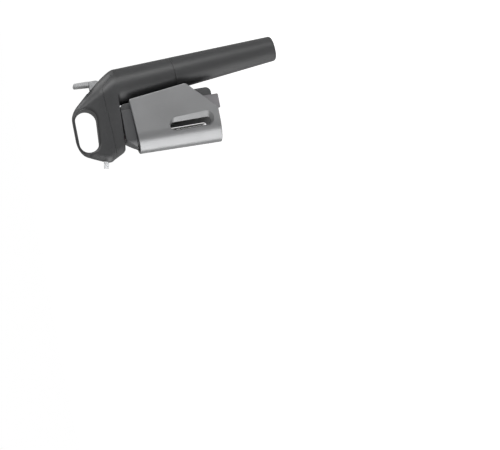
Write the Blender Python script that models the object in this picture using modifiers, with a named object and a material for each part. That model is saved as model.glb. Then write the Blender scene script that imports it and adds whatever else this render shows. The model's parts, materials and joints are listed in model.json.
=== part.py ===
"""Hand-held dispenser that pours through a needle and refills with gas, clamped on a neck.

Metres, +Z up along the needle. The origin is the centre of the lip that the clamp rests on,
the handle hangs at +X, the spout points to -X, and the XZ plane is the plane of symmetry.
Blender 4.5: blender --background --python part.py
"""

import math

import bmesh
import bpy
from mathutils import Matrix, Vector

# Running clearances, and the overrun of every cutter
GAP = 0.0003
RUNNING_GAP = 0.0004
OVERRUN = 0.003
WELD = 0.000002
SHARE_ROUNDING = 1e-9
MILLIMETRES = 1000

# Angles in degrees between two faces, past which shading breaks and a bevel cuts
SMOOTH_LIMIT = 35.0
BEVEL_LIMIT = 40.0
BLUNT_BEVEL_LIMIT = 50.0
KEEN_BEVEL_LIMIT = 30.0

# Facets
ARC_COUNT = 4
ROUND_COUNT = 26
SMALL_COUNT = 16
WIRE_COUNT = 8
PIN_COUNT = 12
HOLLOW_COUNT = 48
CUP_COUNT = 36
LOFT_REAR_COUNT = 18
LOFT_FRONT_COUNT = 12

# Neck and needle
NECK_RADIUS = 0.0145
NEEDLE_RADIUS = 0.00095
NEEDLE_BORE = 0.00045
NEEDLE_REACH = 0.058
NEEDLE_POINT = 0.004
NEEDLE_PORT_RADIUS = 0.0003
NEEDLE_PORT_RISE = 0.0065
STROKE = 0.060

# Head: a stack of level sections, each the hull of a rear and a front circle
HEAD_BASE_Z = 0.0268
HEAD_HEIGHT = 0.0492
HEAD_REACH = 0.0226
HEAD_WALL = 0.0024
UNDERSIDE_RISE = 0.0016
CORNER_FILLET = 0.0036
HANDLE_CLEARANCE = 0.0027
HANDLE_LEAN_ANGLE = 4.57
HANDLE_RADIUS = 0.0189
HANDLE_END_SHARE = 0.6825
HANDLE_END_RADIUS = HANDLE_RADIUS * HANDLE_END_SHARE
HANDLE_LENGTH = 0.1444
HANDLE_SEAM = 0.0348
HANDLE_EDGE = 0.0032
BARREL_BORE_SHARE = 0.788
BARREL_BORE = HANDLE_RADIUS * BARREL_BORE_SHARE
# height, front reach and rear depth as shares of the head's, and the two radii as shares of the handle's
HEAD_SECTION_SHARES = (
    (0.000, 0.584, 1.000, 0.476, 1.000),
    (0.065, 0.677, 0.982, 0.487, 0.995),
    (0.167, 0.792, 0.942, 0.492, 0.963),
    (0.268, 0.903, 0.895, 0.487, 0.910),
    (0.360, 1.000, 0.849, 0.476, 0.847),
    (0.400, 1.000, 0.826, 0.471, 0.810),
    (0.512, 0.916, 0.764, 0.460, 0.704),
    (0.634, 0.801, 0.690, 0.455, 0.598),
    (0.756, 0.673, 0.614, 0.450, 0.508),
    (0.858, 0.549, 0.550, 0.444, 0.455),
    (0.919, 0.407, 0.502, 0.429, 0.429),
    (0.963, 0.221, 0.454, 0.381, 0.381),
    (0.988, 0.027, 0.410, 0.307, 0.307),
    (1.000, -0.177, 0.358, 0.222, 0.222),
)
# The seam between the shell and the cover, in the side view, as shares of depth and height
SEAM_SHARES = (
    (1.080, -0.260),
    (0.923, -0.028),
    (0.858, 0.085),
    (0.768, 0.232),
    (0.722, 0.272),
    (0.662, 0.284),
    (0.540, 0.278),
    (0.385, 0.260),
    (0.190, 0.243),
    (-0.080, 0.228),
    (-0.420, 0.218),
)
CAVITY_TOP_SHARE = 0.420

# Finger loop
LOOP_FRONT_X = 0.0002
LOOP_REAR_X = 0.0229
LOOP_FRONT_SHARE = 0.740
LOOP_REAR_SHARE = 0.7236
LOOP_FRONT_RADIUS_SHARE = 0.2053
LOOP_REAR_RADIUS_SHARE = 0.2236
LOOP_FRONT_Z = HEAD_BASE_Z + HEAD_HEIGHT * LOOP_FRONT_SHARE
LOOP_REAR_Z = HEAD_BASE_Z + HEAD_HEIGHT * LOOP_REAR_SHARE
LOOP_FRONT_RADIUS = HEAD_HEIGHT * LOOP_FRONT_RADIUS_SHARE
LOOP_REAR_RADIUS = HEAD_HEIGHT * LOOP_REAR_RADIUS_SHARE
LOOP_FLARE = 0.0022
LOOP_HALF_WIDTH_SHARE = 0.45
LOOP_HALF_WIDTH = HANDLE_RADIUS * LOOP_HALF_WIDTH_SHARE

# Spout and pouring tube
SPOUT_RADIUS = 0.0026
SPOUT_BORE = 0.0017
SPOUT_LENGTH = 0.0180
SPOUT_STANDOUT = 0.0053
SPOUT_TIP_X = HEAD_REACH + SPOUT_STANDOUT
SPOUT_HEIGHT_SHARE = 0.4858
SPOUT_TIP_Z = HEAD_BASE_Z + HEAD_HEIGHT * SPOUT_HEIGHT_SHARE
SPOUT_TILT_ANGLE = 11.0
SPOUT_BORE_DEPTH = 0.0265
TUBE_RADIUS = 0.0014
TUBE_RISE = 0.0016

# Needle hub
HUB_RADIUS = 0.0055
HUB_BASE_RADIUS = 0.0032
HUB_SEAT_Z = 0.0298
HUB_HEIGHT = 0.0084
HUB_NIPPLE_RADIUS = 0.0021
HUB_NIPPLE_HEIGHT = 0.0018
NEEDLE_IN_HUB = 0.0045
SEAL_WIRE = 0.0008

# Clamp carriage
CARRIAGE_TOP_Z = 0.0264
BLOCK_BASE_Z = 0.0150
BLOCK_MARGIN = 0.0005
BLOCK_HALF_WIDTH = NECK_RADIUS - BLOCK_MARGIN
BLOCK_FRONT_RADIUS = NECK_RADIUS + BLOCK_MARGIN
BLOCK_REAR_STEP = 0.0052
BLOCK_SLOPE_TOP_X = 0.0052
BLOCK_SLOPE_REACH = 0.0100
BLOCK_SLOPE_BASE_X = BLOCK_SLOPE_TOP_X + BLOCK_SLOPE_REACH
LIP_BOSS_INSET = 0.0015
LIP_BOSS_RADIUS = NECK_RADIUS - LIP_BOSS_INSET
BUMPER_THICKNESS = 0.0025
BUMPER_RADIUS = LIP_BOSS_RADIUS - BLOCK_MARGIN
BUMPER_HOLE = 0.0042
GUIDE_RADIUS = 0.0030
GUIDE_FLANGE_RADIUS = 0.0045
GUIDE_FLANGE = 0.0010
GUIDE_CLEARANCE = 0.00025
SPINE_INSET = 0.0045
SPINE_HALF_WIDTH = NECK_RADIUS - SPINE_INSET
SPINE_SETBACK = 0.0065
SPINE_FRONT_X = NECK_RADIUS + SPINE_SETBACK
BLOCK_REAR_X = SPINE_FRONT_X + BLOCK_REAR_STEP
SPINE_CHAMFER = 0.0030
SPINE_KNEE_Z = 0.0300
SPINE_CORNER = 0.0055

# Guide mast and stop pin
MAST_THICKNESS = 0.0040
MAST_HALF_WIDTH = 0.0065
MAST_SETBACK = 0.0062
MAST_REAR_X = SPINE_FRONT_X + MAST_SETBACK
MAST_TAIL = 0.0060
MAST_LENGTH = STROKE + MAST_TAIL
SPINE_BACK = 0.0057
SPINE_TOP_X = MAST_REAR_X + SPINE_BACK
SPINE_BELLY = 0.0031
SPINE_REAR_X = SPINE_TOP_X + SPINE_BELLY
SPINE_TAIL = 0.0030
SPINE_BASE_Z = MAST_LENGTH + SPINE_TAIL
MAST_SLOT_HALF_WIDTH = 0.0017
MAST_FLANGE_SHARE = 0.517
MAST_FLANGE = (MAST_REAR_X - MAST_THICKNESS) * MAST_FLANGE_SHARE
MAST_FLANGE_THICKNESS = 0.0030
STOP_PIN_RADIUS = 0.0014
STOP_PIN_Z = 0.0
SCREW_RADIUS = 0.0011
SCREW_HEAD_RADIUS = 0.0020
SCREW_HEAD = 0.0013
SCREW_LENGTH = 0.0046
SCREW_SPACING = 0.0084
SCREW_SLOT = 0.0005
COVER_SCREW_REACH_SHARE = 0.572
COVER_SCREW_X = NECK_RADIUS * COVER_SCREW_REACH_SHARE
COVER_SCREW_SHARE = 0.2963
COVER_SCREW_Y = HANDLE_RADIUS * COVER_SCREW_SHARE
COVER_SCREW_INSET = 0.0010
COVER_BOSS_RADIUS = 0.0026

# Neck rest
REST_DEPTH = 0.0089
REST_FRONT_X = SPINE_FRONT_X - REST_DEPTH
REST_HALF_WIDTH = 0.0115
REST_TOP_Z = 0.0040
REST_FOOT = 0.0063
REST_BASE_Z = SPINE_BASE_Z + REST_FOOT
REST_CHEEK = 0.0062
REST_FOOT_X = SPINE_FRONT_X + REST_CHEEK
REST_CHEEK_TOP_Z = 0.0540
REST_EDGE = 0.0012
PAD_THICKNESS = 0.0016
REST_PAD_ANGLE = 40.0
REST_PAD_TOP_Z = 0.0070
REST_PAD_INSET = 0.0043
REST_PAD_BASE_Z = REST_BASE_Z - REST_PAD_INSET
REST_SCREW_INSET = 0.0130

# Jaws
JAW_WALL = 0.0028
JAW_DRAFT = 0.0019
JAW_INNER_RADIUS = NECK_RADIUS + PAD_THICKNESS + GAP
JAW_TOP_RADIUS = JAW_INNER_RADIUS + JAW_WALL
JAW_BASE_RADIUS = JAW_TOP_RADIUS + JAW_DRAFT
JAW_TOP_Z = 0.0168
JAW_FRONT_TOP_Z = 0.0136
JAW_TOP_STEP = 0.0142
JAW_REAR_TOP_X = SPINE_FRONT_X + JAW_TOP_STEP
JAW_MID_STEP = 0.0208
JAW_REAR_MID_X = SPINE_FRONT_X + JAW_MID_STEP
JAW_DROP = 0.0025
JAW_BASE_Z = SPINE_BASE_Z + JAW_DROP
JAW_DIAGONAL = 0.0285
JAW_REAR_MID_Z = JAW_BASE_Z - JAW_DIAGONAL
JAW_DIAGONAL_X = 0.0120
JAW_MEETING_GAP = 0.0005
JAW_EDGE = 0.0009
JAW_CORNER = 0.0015
JAW_MID_CORNER = 0.0050
JAW_BASE_CORNER = 0.0060
JAW_PIN_STEP = 0.0080
JAW_PIN_X = SPINE_FRONT_X + JAW_PIN_STEP
JAW_PIN_Y = (SPINE_HALF_WIDTH + JAW_INNER_RADIUS) / 2
JAW_PIN_RADIUS = 0.0015
JAW_BARREL_TOP_Z = 0.0085
JAW_BARREL_BASE_Z = 0.0462
JAW_SPRING_TOP_Z = 0.0125
JAW_SPRING_BASE_Z = 0.0205
LUG_THICKNESS = 0.0036
LUG_RADIUS = JAW_PIN_Y - SPINE_HALF_WIDTH - GAP
SLOT_TOP_Z = 0.0198
SLOT_INSET = 0.0093
SLOT_LENGTH = JAW_BASE_Z - SLOT_TOP_Z - SLOT_INSET
SLOT_HALF_WIDTH = 0.0040
SLOT_X = 0.0002
POCKET_GROWTH = 0.0032
POCKET_OFFSET = 0.0015
POCKET_TOP_MARGIN = 0.0008
POCKET_BASE_MARGIN = 0.0025
POCKET_DEPTH_SHARE = 0.9
POCKET_DEPTH = JAW_WALL * POCKET_DEPTH_SHARE
JAW_PAD_FIRST_ANGLE = 118.0
JAW_PAD_LAST_ANGLE = 170.0
JAW_PAD_TOP_Z = 0.0080
JAW_PAD_INSET = 0.0095
JAW_PAD_BASE_Z = JAW_BASE_Z - JAW_PAD_INSET
JAW_SPRING_WIRE = 0.0004
JAW_SPRING_RADIUS = LUG_RADIUS - JAW_SPRING_WIRE
JAW_SPRING_TURNS = 4
JAW_SPRING_LEG = 0.0052

# Trigger
TRIGGER_PIN_OFFSET = 0.0021
TRIGGER_PIN_Z = 0.0384
TRIGGER_PIN_RADIUS = 0.0015
TRIGGER_HALF_WIDTH = 0.0045
PADDLE_HALF_WIDTH = 0.0070
PADDLE_STEP = 0.0060
PADDLE_TIP_THICKNESS = 0.0036
PADDLE_ROOT_THICKNESS = 0.0047
PADDLE_ROOT_RISE = 0.0140
PADDLE_LENGTH = 0.0159
BOSS_REACH = 0.0028
BOSS_TOP_Z = 0.0524
TRIGGER_HUB_RADIUS = 0.0036
TRIGGER_CAM_REACH = 0.0066
TRIGGER_CAM_DROP = 0.0026
TRIGGER_CORNER = 0.0010
TRIGGER_HEEL = 0.0079
HUB_HEEL_SHARE = 0.8
EAR_THICKNESS = 0.0026
EAR_RADIUS = 0.0031
TRIGGER_SLOT_FRONT = 0.0030

# Gas capsule and cup
CAPSULE_RADIUS_SHARE = 0.7386
CAPSULE_RADIUS = BARREL_BORE * CAPSULE_RADIUS_SHARE
CAPSULE_WALL = 0.0016
CAPSULE_NECK_RADIUS = 0.0043
CAPSULE_NECK = 0.0075
CAPSULE_HOLE = 0.0012
CUP_CLEARANCE = 0.0006
CUP_BORE = CAPSULE_RADIUS + CUP_CLEARANCE
CUP_NECK = 0.0120
CUP_RIM_CLEARANCE = 0.0010
CUP_FLOOR = 0.0028
CUP_THREAD_PITCH = 0.0040
CUP_THREAD_DEPTH = 0.0006
CUP_PAD_THICKNESS = 0.0020
CUP_PAD_INSET = 0.0008
CUP_PAD_RADIUS = CUP_BORE - CUP_FLOOR - CUP_PAD_INSET

# Regulator and valve, along the handle's axis
REGULATOR_SHARE = 0.745
REGULATOR_RADIUS = BARREL_BORE * REGULATOR_SHARE
REGULATOR_FLANGE = 0.0024
REGULATOR_NOSE_SHARE = 0.537
REGULATOR_NOSE_RADIUS = BARREL_BORE * REGULATOR_NOSE_SHARE
REGULATOR_FLOOR = 0.0050
REGULATOR_BORE_SHARE = 0.658
REGULATOR_BORE = BARREL_BORE * REGULATOR_BORE_SHARE
REGULATOR_TOP = 0.0170
RECESS_DEPTH = 0.0060
RECESS_CLEARANCE = 0.0005
PIERCING_RADIUS = 0.0008
PIERCING_FLANGE_RADIUS = 0.0024
PIERCING_FLANGE = 0.0009
PIERCING_REACH = 0.0016
GAS_PASSAGE = 0.0010
PISTON_THICKNESS = 0.0040
PISTON_STEM_RADIUS = 0.0028
PISTON_LIFT = 0.0020
REGULATOR_SPRING_WIRE = 0.0008
REGULATOR_SPRING_TURNS = 5
VALVE_FLANGE = 0.0040
VALVE_NECK_RADIUS = 0.0062
VALVE_TOP = 0.0293
STEM_RADIUS = 0.0017
STEM_HEAD_RADIUS = 0.0036
STEM_HEAD = 0.0014
STEM_SEAL_DEPTH = 0.0040
STEM_EDGE_SHARE = 0.7
GASKET = 0.0010
STEM_LIFT = 0.0042
VALVE_SPRING_WIRE = 0.00035
VALVE_SPRING_RADIUS = 0.0026
VALVE_SPRING_TURNS = 4
GAS_TUBE_Z = 0.0364

# The handle hangs behind the spine, the head reaches to its far side, and the trigger goes with them
HANDLE_AXIS_X = SPINE_TOP_X + HANDLE_CLEARANCE + HANDLE_RADIUS
HEAD_DEPTH = HANDLE_AXIS_X + HANDLE_RADIUS - math.tan(math.radians(HANDLE_LEAN_ANGLE)) * HEAD_BASE_Z
TRIGGER_PIN_X = HANDLE_AXIS_X + TRIGGER_PIN_OFFSET
PADDLE_OUTER_X = TRIGGER_PIN_X + PADDLE_STEP
PADDLE_TIP_X = PADDLE_OUTER_X - PADDLE_TIP_THICKNESS
PADDLE_ROOT_X = PADDLE_OUTER_X - PADDLE_ROOT_THICKNESS
PADDLE_ROOT_Z = TRIGGER_PIN_Z + PADDLE_ROOT_RISE
PADDLE_TIP_Z = PADDLE_ROOT_Z + PADDLE_LENGTH

# Colours of the materials
CHARCOAL = (0.055, 0.056, 0.058)
DARK_GREY = (0.075, 0.077, 0.080)
CLAMP_GREY = (0.235, 0.238, 0.240)
REST_GREY = (0.180, 0.182, 0.185)
TRIGGER_GREY = (0.330, 0.335, 0.340)
RUBBER_BLACK = (0.020, 0.020, 0.021)
STEEL = (0.620, 0.620, 0.610)
BRASS = (0.620, 0.470, 0.220)
CAPSULE_SILVER = (0.560, 0.560, 0.570)
CLEAR_WHITE = (0.820, 0.830, 0.840)
SEAL_RED = (0.350, 0.060, 0.040)


def clear_scene():
    for old in list(bpy.data.objects):
        bpy.data.objects.remove(old, do_unlink=True)


clear_scene()
PARTS = bpy.data.collections.new("gas_dispenser")
CUTTERS = bpy.data.collections.new("cutters")
bpy.context.scene.collection.children.link(PARTS)
bpy.context.scene.collection.children.link(CUTTERS)


def material(name, colour, roughness, metallic):
    made = bpy.data.materials.new(name)
    made.use_nodes = True
    shader = made.node_tree.nodes["Principled BSDF"]
    shader.inputs["Base Color"].default_value = (*colour, 1.0)
    shader.inputs["Roughness"].default_value = roughness
    shader.inputs["Metallic"].default_value = metallic
    made.diffuse_color = (*colour, 1.0)
    return made


MATTE_BODY = material("matte_body", CHARCOAL, 0.45, 0.0)
DARK_PLASTIC = material("dark_plastic", DARK_GREY, 0.50, 0.0)
CLAMP_PLASTIC = material("clamp_plastic", CLAMP_GREY, 0.38, 0.0)
REST_PLASTIC = material("rest_plastic", REST_GREY, 0.45, 0.0)
TRIGGER_PLASTIC = material("trigger_plastic", TRIGGER_GREY, 0.40, 0.0)
RUBBER = material("rubber", RUBBER_BLACK, 0.80, 0.0)
STEEL_METAL = material("steel", STEEL, 0.25, 1.0)
BRASS_METAL = material("brass", BRASS, 0.30, 1.0)
CAPSULE_METAL = material("capsule_metal", CAPSULE_SILVER, 0.30, 1.0)
CLEAR_TUBE = material("clear_tube", CLEAR_WHITE, 0.20, 0.0)
SEAL_RUBBER = material("seal_rubber", SEAL_RED, 0.60, 0.0)


def empty(name, location=(0, 0, 0), tilt=0.0, parent=None):
    """A frame that moving pieces hang from: an empty turned about Y by tilt, in degrees."""
    made = bpy.data.objects.new(name, None)
    made.location = location
    made.rotation_euler = (0.0, math.radians(tilt), 0.0)
    made.parent = parent
    PARTS.objects.link(made)
    return made


def add(name, mesh, finish=None, parent=None, location=(0, 0, 0)):
    """A piece of the object from a mesh, or a cutter where it has no finish."""
    made = bpy.data.objects.new(name, mesh)
    made.location = location
    made.parent = parent
    if finish is None:
        made.hide_render = True
        made.display_type = "WIRE"
        CUTTERS.objects.link(made)
    else:
        mesh.materials.clear()
        mesh.materials.append(finish)
        PARTS.objects.link(made)
    return made


def smooth(made, angle=SMOOTH_LIMIT):
    made.data.shade_smooth()
    made.data.set_sharp_from_angle(angle=math.radians(angle))
    return made


def evaluated_mesh(made):
    """The object's mesh with its modifiers applied, and a curve's loose caps welded, in its own frame."""
    bpy.context.view_layer.update()
    graph = bpy.context.evaluated_depsgraph_get()
    mesh = bpy.data.meshes.new_from_object(made.evaluated_get(graph))
    shape = bmesh.new()
    shape.from_mesh(mesh)
    if made.type == "CURVE":
        bmesh.ops.remove_doubles(shape, verts=shape.verts, dist=WELD)
        bmesh.ops.recalc_face_normals(shape, faces=shape.faces)
    shape.to_mesh(mesh)
    shape.free()
    return mesh


def baked(made, name, finish=None, parent=None, origin=(0, 0, 0)):
    """The object remade as a plain mesh whose origin lies at a point of its parent's frame."""
    mesh = evaluated_mesh(made)
    mesh.transform(Matrix.Translation(-Vector(origin)) @ made.matrix_basis)
    data = made.data
    bpy.data.objects.remove(made, do_unlink=True)
    if isinstance(data, bpy.types.Curve):
        bpy.data.curves.remove(data)
    return add(name, mesh, finish, parent, origin)


def boolean(made, other, operation="DIFFERENCE"):
    step = made.modifiers.new(operation.lower() + "_" + other.name, "BOOLEAN")
    step.operation = operation
    step.object = other
    return made


def bevel(made, width, segments=2, angle=BEVEL_LIMIT):
    step = made.modifiers.new("edges", "BEVEL")
    step.width = width
    step.segments = segments
    step.limit_method = "ANGLE"
    step.angle_limit = math.radians(angle)
    return made


def rounded(corners, count=ARC_COUNT):
    """An outline whose corners (u, v, radius) become arcs that touch both of their sides."""
    points = []
    for index, (u, v, radius) in enumerate(corners):
        corner = Vector((u, v))
        if not radius:
            points.append(corner)
            continue
        before = (Vector(corners[index - 1][:2]) - corner).normalized()
        after = (Vector(corners[(index + 1) % len(corners)][:2]) - corner).normalized()
        half = before.angle(after) / 2
        centre = corner + (before + after).normalized() * (radius / math.sin(half))
        reach = radius / math.tan(half)
        first = corner + before * reach - centre
        turn = first.angle_signed(corner + after * reach - centre)
        for step in range(count + 1):
            angle = -turn * step / count
            points.append(centre + Matrix.Rotation(angle, 2) @ first)
    return points


def circle(radius, centre=(0, 0), count=SMALL_COUNT):
    return [
        Vector((centre[0] + radius * math.cos(angle), centre[1] + radius * math.sin(angle)))
        for angle in (2 * math.pi * step / count for step in range(count))
    ]


def arc(radius, first, last, count):
    angles = (math.radians(first + (last - first) * step / count) for step in range(count + 1))
    return [Vector((radius * math.cos(angle), radius * math.sin(angle))) for angle in angles]


def ring_sector(inner, outer, first, last, count=10):
    return arc(outer, first, last, count) + arc(inner, last, first, count)


def hull(rear, rear_radius, front, front_radius, rear_count, front_count):
    """The outline round two circles, along the tangents that touch both."""
    rear, front = Vector(rear), Vector(front)
    reach = front - rear
    lean = math.pi / 2
    heading = math.pi
    if reach.length > abs(rear_radius - front_radius):
        lean = math.acos((rear_radius - front_radius) / reach.length)
        heading = math.atan2(reach.y, reach.x)
    points = []
    for step in range(rear_count + 1):
        angle = heading + lean + (2 * math.pi - 2 * lean) * step / rear_count
        points.append(rear + rear_radius * Vector((math.cos(angle), math.sin(angle))))
    for step in range(front_count + 1):
        angle = heading - lean + 2 * lean * step / front_count
        points.append(front + front_radius * Vector((math.cos(angle), math.sin(angle))))
    return points


def prism(name, outline, low, high, facing="Z", holes=()):
    """A flat outline as a filled 2D curve with a thickness, square to Z, or to Y for a side view."""
    curve = bpy.data.curves.new(name, "CURVE")
    curve.dimensions = "2D"
    curve.fill_mode = "BOTH"
    curve.extrude = (high - low) / 2
    for loop in (outline, *holes):
        spline = curve.splines.new("POLY")
        spline.points.add(len(loop) - 1)
        for point, place in zip(spline.points, loop):
            point.co = (place[0], place[1], 0.0, 1.0)
        spline.use_cyclic_u = True
    made = bpy.data.objects.new(name, curve)
    middle = (low + high) / 2
    if facing == "Y":
        made.rotation_euler = (math.pi / 2, 0.0, 0.0)
        made.location = (0.0, middle, 0.0)
    else:
        made.location = (0.0, 0.0, middle)
    CUTTERS.objects.link(made)
    return baked(made, name)


def loft(name, sections):
    """A closed skin over level outlines with like points, from the first to the last."""
    shape = bmesh.new()
    rings = [[shape.verts.new(point) for point in section] for section in sections]
    for below, above in zip(rings, rings[1:]):
        for index in range(len(below)):
            beside = (index + 1) % len(below)
            shape.faces.new((below[index], below[beside], above[beside], above[index]))
    shape.faces.new(rings[0][::-1])
    shape.faces.new(rings[-1])
    bmesh.ops.remove_doubles(shape, verts=shape.verts, dist=WELD)
    bmesh.ops.recalc_face_normals(shape, faces=shape.faces)
    mesh = bpy.data.meshes.new(name)
    shape.to_mesh(mesh)
    shape.free()
    return add(name, mesh)


def turned(name, profile, finish=None, parent=None, location=(0, 0, 0), count=ROUND_COUNT, closed=False):
    """A profile of (radius, height) turned about its Z axis, running down the outer side."""
    mesh = bpy.data.meshes.new(name)
    last = len(profile) - 1
    edges = [(index, index + 1) for index in range(last)]
    if closed:
        edges.append((last, 0))
    mesh.from_pydata([(radius, 0.0, height) for radius, height in profile], edges, [])
    made = add(name, mesh, finish, parent, location)
    step = made.modifiers.new("turn", "SCREW")
    step.steps = count
    step.render_steps = count
    step.use_merge_vertices = True
    step.merge_threshold = WELD
    step.use_smooth_shade = True
    return made


def rod(name, radius, low, high, finish=None, parent=None, location=(0, 0, 0), count=SMALL_COUNT):
    return turned(name, [(0, high), (radius, high), (radius, low), (0, low)], finish, parent, location, count)


def bush(name, outer, inner, low, high, finish=None, parent=None, location=(0, 0, 0), count=ROUND_COUNT):
    profile = [(outer, high), (outer, low), (inner, low), (inner, high)]
    return turned(name, profile, finish, parent, location, count, closed=True)


def o_ring(name, radius, wire, height, finish, parent=None, location=(0, 0, 0)):
    profile = [(radius + point.x, height + point.y) for point in reversed(circle(wire, count=WIRE_COUNT))]
    return turned(name, profile, finish, parent, location, SMALL_COUNT, closed=True)


def wire(name, points, radius, finish, parent=None, location=(0, 0, 0), sides=2):
    """A round wire or tube along points, with filled ends."""
    curve = bpy.data.curves.new(name, "CURVE")
    curve.dimensions = "3D"
    curve.bevel_depth = radius
    curve.bevel_resolution = sides
    curve.use_fill_caps = True
    spline = curve.splines.new("POLY")
    spline.points.add(len(points) - 1)
    for point, place in zip(spline.points, points):
        point.co = (*place, 1.0)
    made = bpy.data.objects.new(name, curve)
    made.location = location
    made.parent = parent
    curve.materials.append(finish)
    PARTS.objects.link(made)
    return made


def coil(radius, low, high, turns, steps=WIRE_COUNT):
    """Points of a helix about Z that climbs from low to high."""
    total = turns * steps
    return [
        (
            radius * math.cos(2 * math.pi * step / steps),
            radius * math.sin(2 * math.pi * step / steps),
            low + (high - low) * step / total,
        )
        for step in range(total + 1)
    ]


def spring(name, points, radius, parent=None, location=(0, 0, 0)):
    """A wire spring, whose least gap between turns is measured on its own points and printed."""
    places = [Vector(point) for point in points]
    apart = WIRE_COUNT // 2 + 1
    reach = min((a - b).length for index, a in enumerate(places) for b in places[index + apart :])
    print(f"{name}: least gap between turns {(reach - 2 * radius) * MILLIMETRES:.2f} mm")
    return wire(name, points, radius, STEEL_METAL, parent, location, 1)


def smooth_route(places, count):
    """Points of a smooth curve through the places, by Catmull and Rom's cubic."""
    places = [Vector(place) for place in places]
    ends = [2 * places[0] - places[1], *places, 2 * places[-1] - places[-2]]
    points = []
    for index in range(1, len(places)):
        a, b, c, d = ends[index - 1 : index + 3]
        for step in range(count):
            t = step / count
            points.append(
                0.5 * (2 * b + (c - a) * t + (2 * a - 5 * b + 4 * c - d) * t**2 + (3 * b - a - 3 * c + d) * t**3)
            )
    return [*points, places[-1]]


def screw(name, location, finish, parent=None, down=True):
    """A pan head screw, head up, or head down where down is false."""
    shank, head, side = SCREW_LENGTH, SCREW_HEAD, SCREW_HEAD_RADIUS
    profile = [(0, head - SCREW_SLOT), (side / 2, head - SCREW_SLOT), (side / 2, head), (side, head), (side, 0)]
    profile += [(SCREW_RADIUS, 0), (SCREW_RADIUS, -shank), (0, -shank)]
    if not down:
        profile = [(radius, -height) for radius, height in reversed(profile)]
    return turned(name, profile, finish, parent, location, SMALL_COUNT)


def screw_hole(name, x, y, low, high, radius=SCREW_RADIUS + GAP):
    return rod(name, radius, low, high, location=(x, y, 0))


def handle_x(z):
    return HANDLE_AXIS_X - math.tan(math.radians(HANDLE_LEAN_ANGLE)) * z


def handle_radius(z):
    """The handle's cone, from its full radius at the head's base to the end of the cup."""
    share = (HEAD_BASE_Z - z) / (HEAD_BASE_Z + HANDLE_LENGTH)
    return HANDLE_RADIUS + (HANDLE_END_RADIUS - HANDLE_RADIUS) * share


def head_z(share):
    return HEAD_BASE_Z + HEAD_HEIGHT * share


def head_row(share):
    """Front, rear and the two radii of the head's level section at a share of its height."""
    rows = HEAD_SECTION_SHARES
    index = max(i for i in range(len(rows) - 1) if rows[i][0] <= share + SHARE_ROUNDING)
    low, high = rows[index], rows[index + 1]
    t = (share - low[0]) / (high[0] - low[0])
    front, rear, front_radius, rear_radius = (a + (b - a) * t for a, b in zip(low[1:], high[1:]))
    return -HEAD_REACH * front, HEAD_DEPTH * rear, HANDLE_RADIUS * front_radius, HANDLE_RADIUS * rear_radius


def head_section(share, inset=0.0):
    front, rear, front_radius, rear_radius = head_row(share)
    outline = hull(
        (rear - rear_radius, 0),
        rear_radius - inset,
        (front + front_radius, 0),
        front_radius - inset,
        LOFT_REAR_COUNT,
        LOFT_FRONT_COUNT,
    )
    return [(x, y, head_z(share)) for x, y in outline]


def underside_section():
    """The head's lowest section, which rises evenly from the barrel's fillet to the nose."""
    start = handle_x(HEAD_BASE_Z) - handle_radius(HEAD_BASE_Z) - CORNER_FILLET
    slope = UNDERSIDE_RISE / (start + HEAD_REACH)
    return [(x, y, z + slope * max(0, start - x)) for x, y, z in head_section(0.0)]


def barrel_section(z, flare=0.0):
    """A level section of the barrel, whose front grows by flare towards the outline of the head's base."""
    centre, radius = handle_x(z), handle_radius(z)
    front, _, front_radius, _ = head_row(0.0)
    share = flare / (centre - front - front_radius)
    middle = centre + (front + front_radius - centre) * share
    narrowed = radius + (front_radius - radius) * share
    outline = hull((centre, 0), radius, (middle, 0), narrowed, LOFT_REAR_COUNT, LOFT_FRONT_COUNT)
    return [(x, y, z) for x, y in outline]


def roof_z(x, y, depth):
    """The height at which a point at x and y lies a depth inside the head's sloping back."""
    low, high = 0.0, HEAD_SECTION_SHARES[-4][0]
    for _ in range(40):
        middle = (low + high) / 2
        _, rear, _, radius = head_row(middle)
        if rear - radius + math.sqrt(max((radius - depth) ** 2 - y**2, 0)) > x:
            low = middle
        else:
            high = middle
    return head_z(low)


def seam_outline(shift, top):
    """The side view of what lies above the seam, lowered or raised by shift."""
    line = [(HEAD_DEPTH * x, HEAD_BASE_Z + HEAD_HEIGHT * z + shift) for x, z in SEAM_SHARES]
    return [*line, (line[-1][0], top), (line[0][0], top)]


LEAN = -HANDLE_LEAN_ANGLE
slide = empty("head_slide")
handle = empty("handle_axis", (HANDLE_AXIS_X, 0, 0), LEAN, slide)
ABOVE_HEAD = HEAD_BASE_Z + HEAD_HEIGHT + OVERRUN
CAVITY_TOP_Z = head_z(CAVITY_TOP_SHARE)
FLOOR_Z = HEAD_BASE_Z + UNDERSIDE_RISE + HEAD_WALL

# Places along the handle's axis: the regulator sits on the cup's collar, and the capsule fills the cup below
REGULATOR_RIM = CUP_NECK + CUP_RIM_CLEARANCE - HANDLE_SEAM - GAP
VALVE_BASE = REGULATOR_RIM + REGULATOR_FLANGE + GASKET + 2 * GAP
CHAMBER_BASE = REGULATOR_RIM - REGULATOR_TOP - PISTON_THICKNESS
RECESS_TOP = CHAMBER_BASE - REGULATOR_FLOOR
NOSE_BASE = RECESS_TOP - RECESS_DEPTH
CAPSULE_TOP = RECESS_TOP - 2 * SEAL_WIRE - GAP
CAPSULE_BASE = -HANDLE_LENGTH + CUP_FLOOR + CUP_PAD_THICKNESS + 2 * GAP


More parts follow.
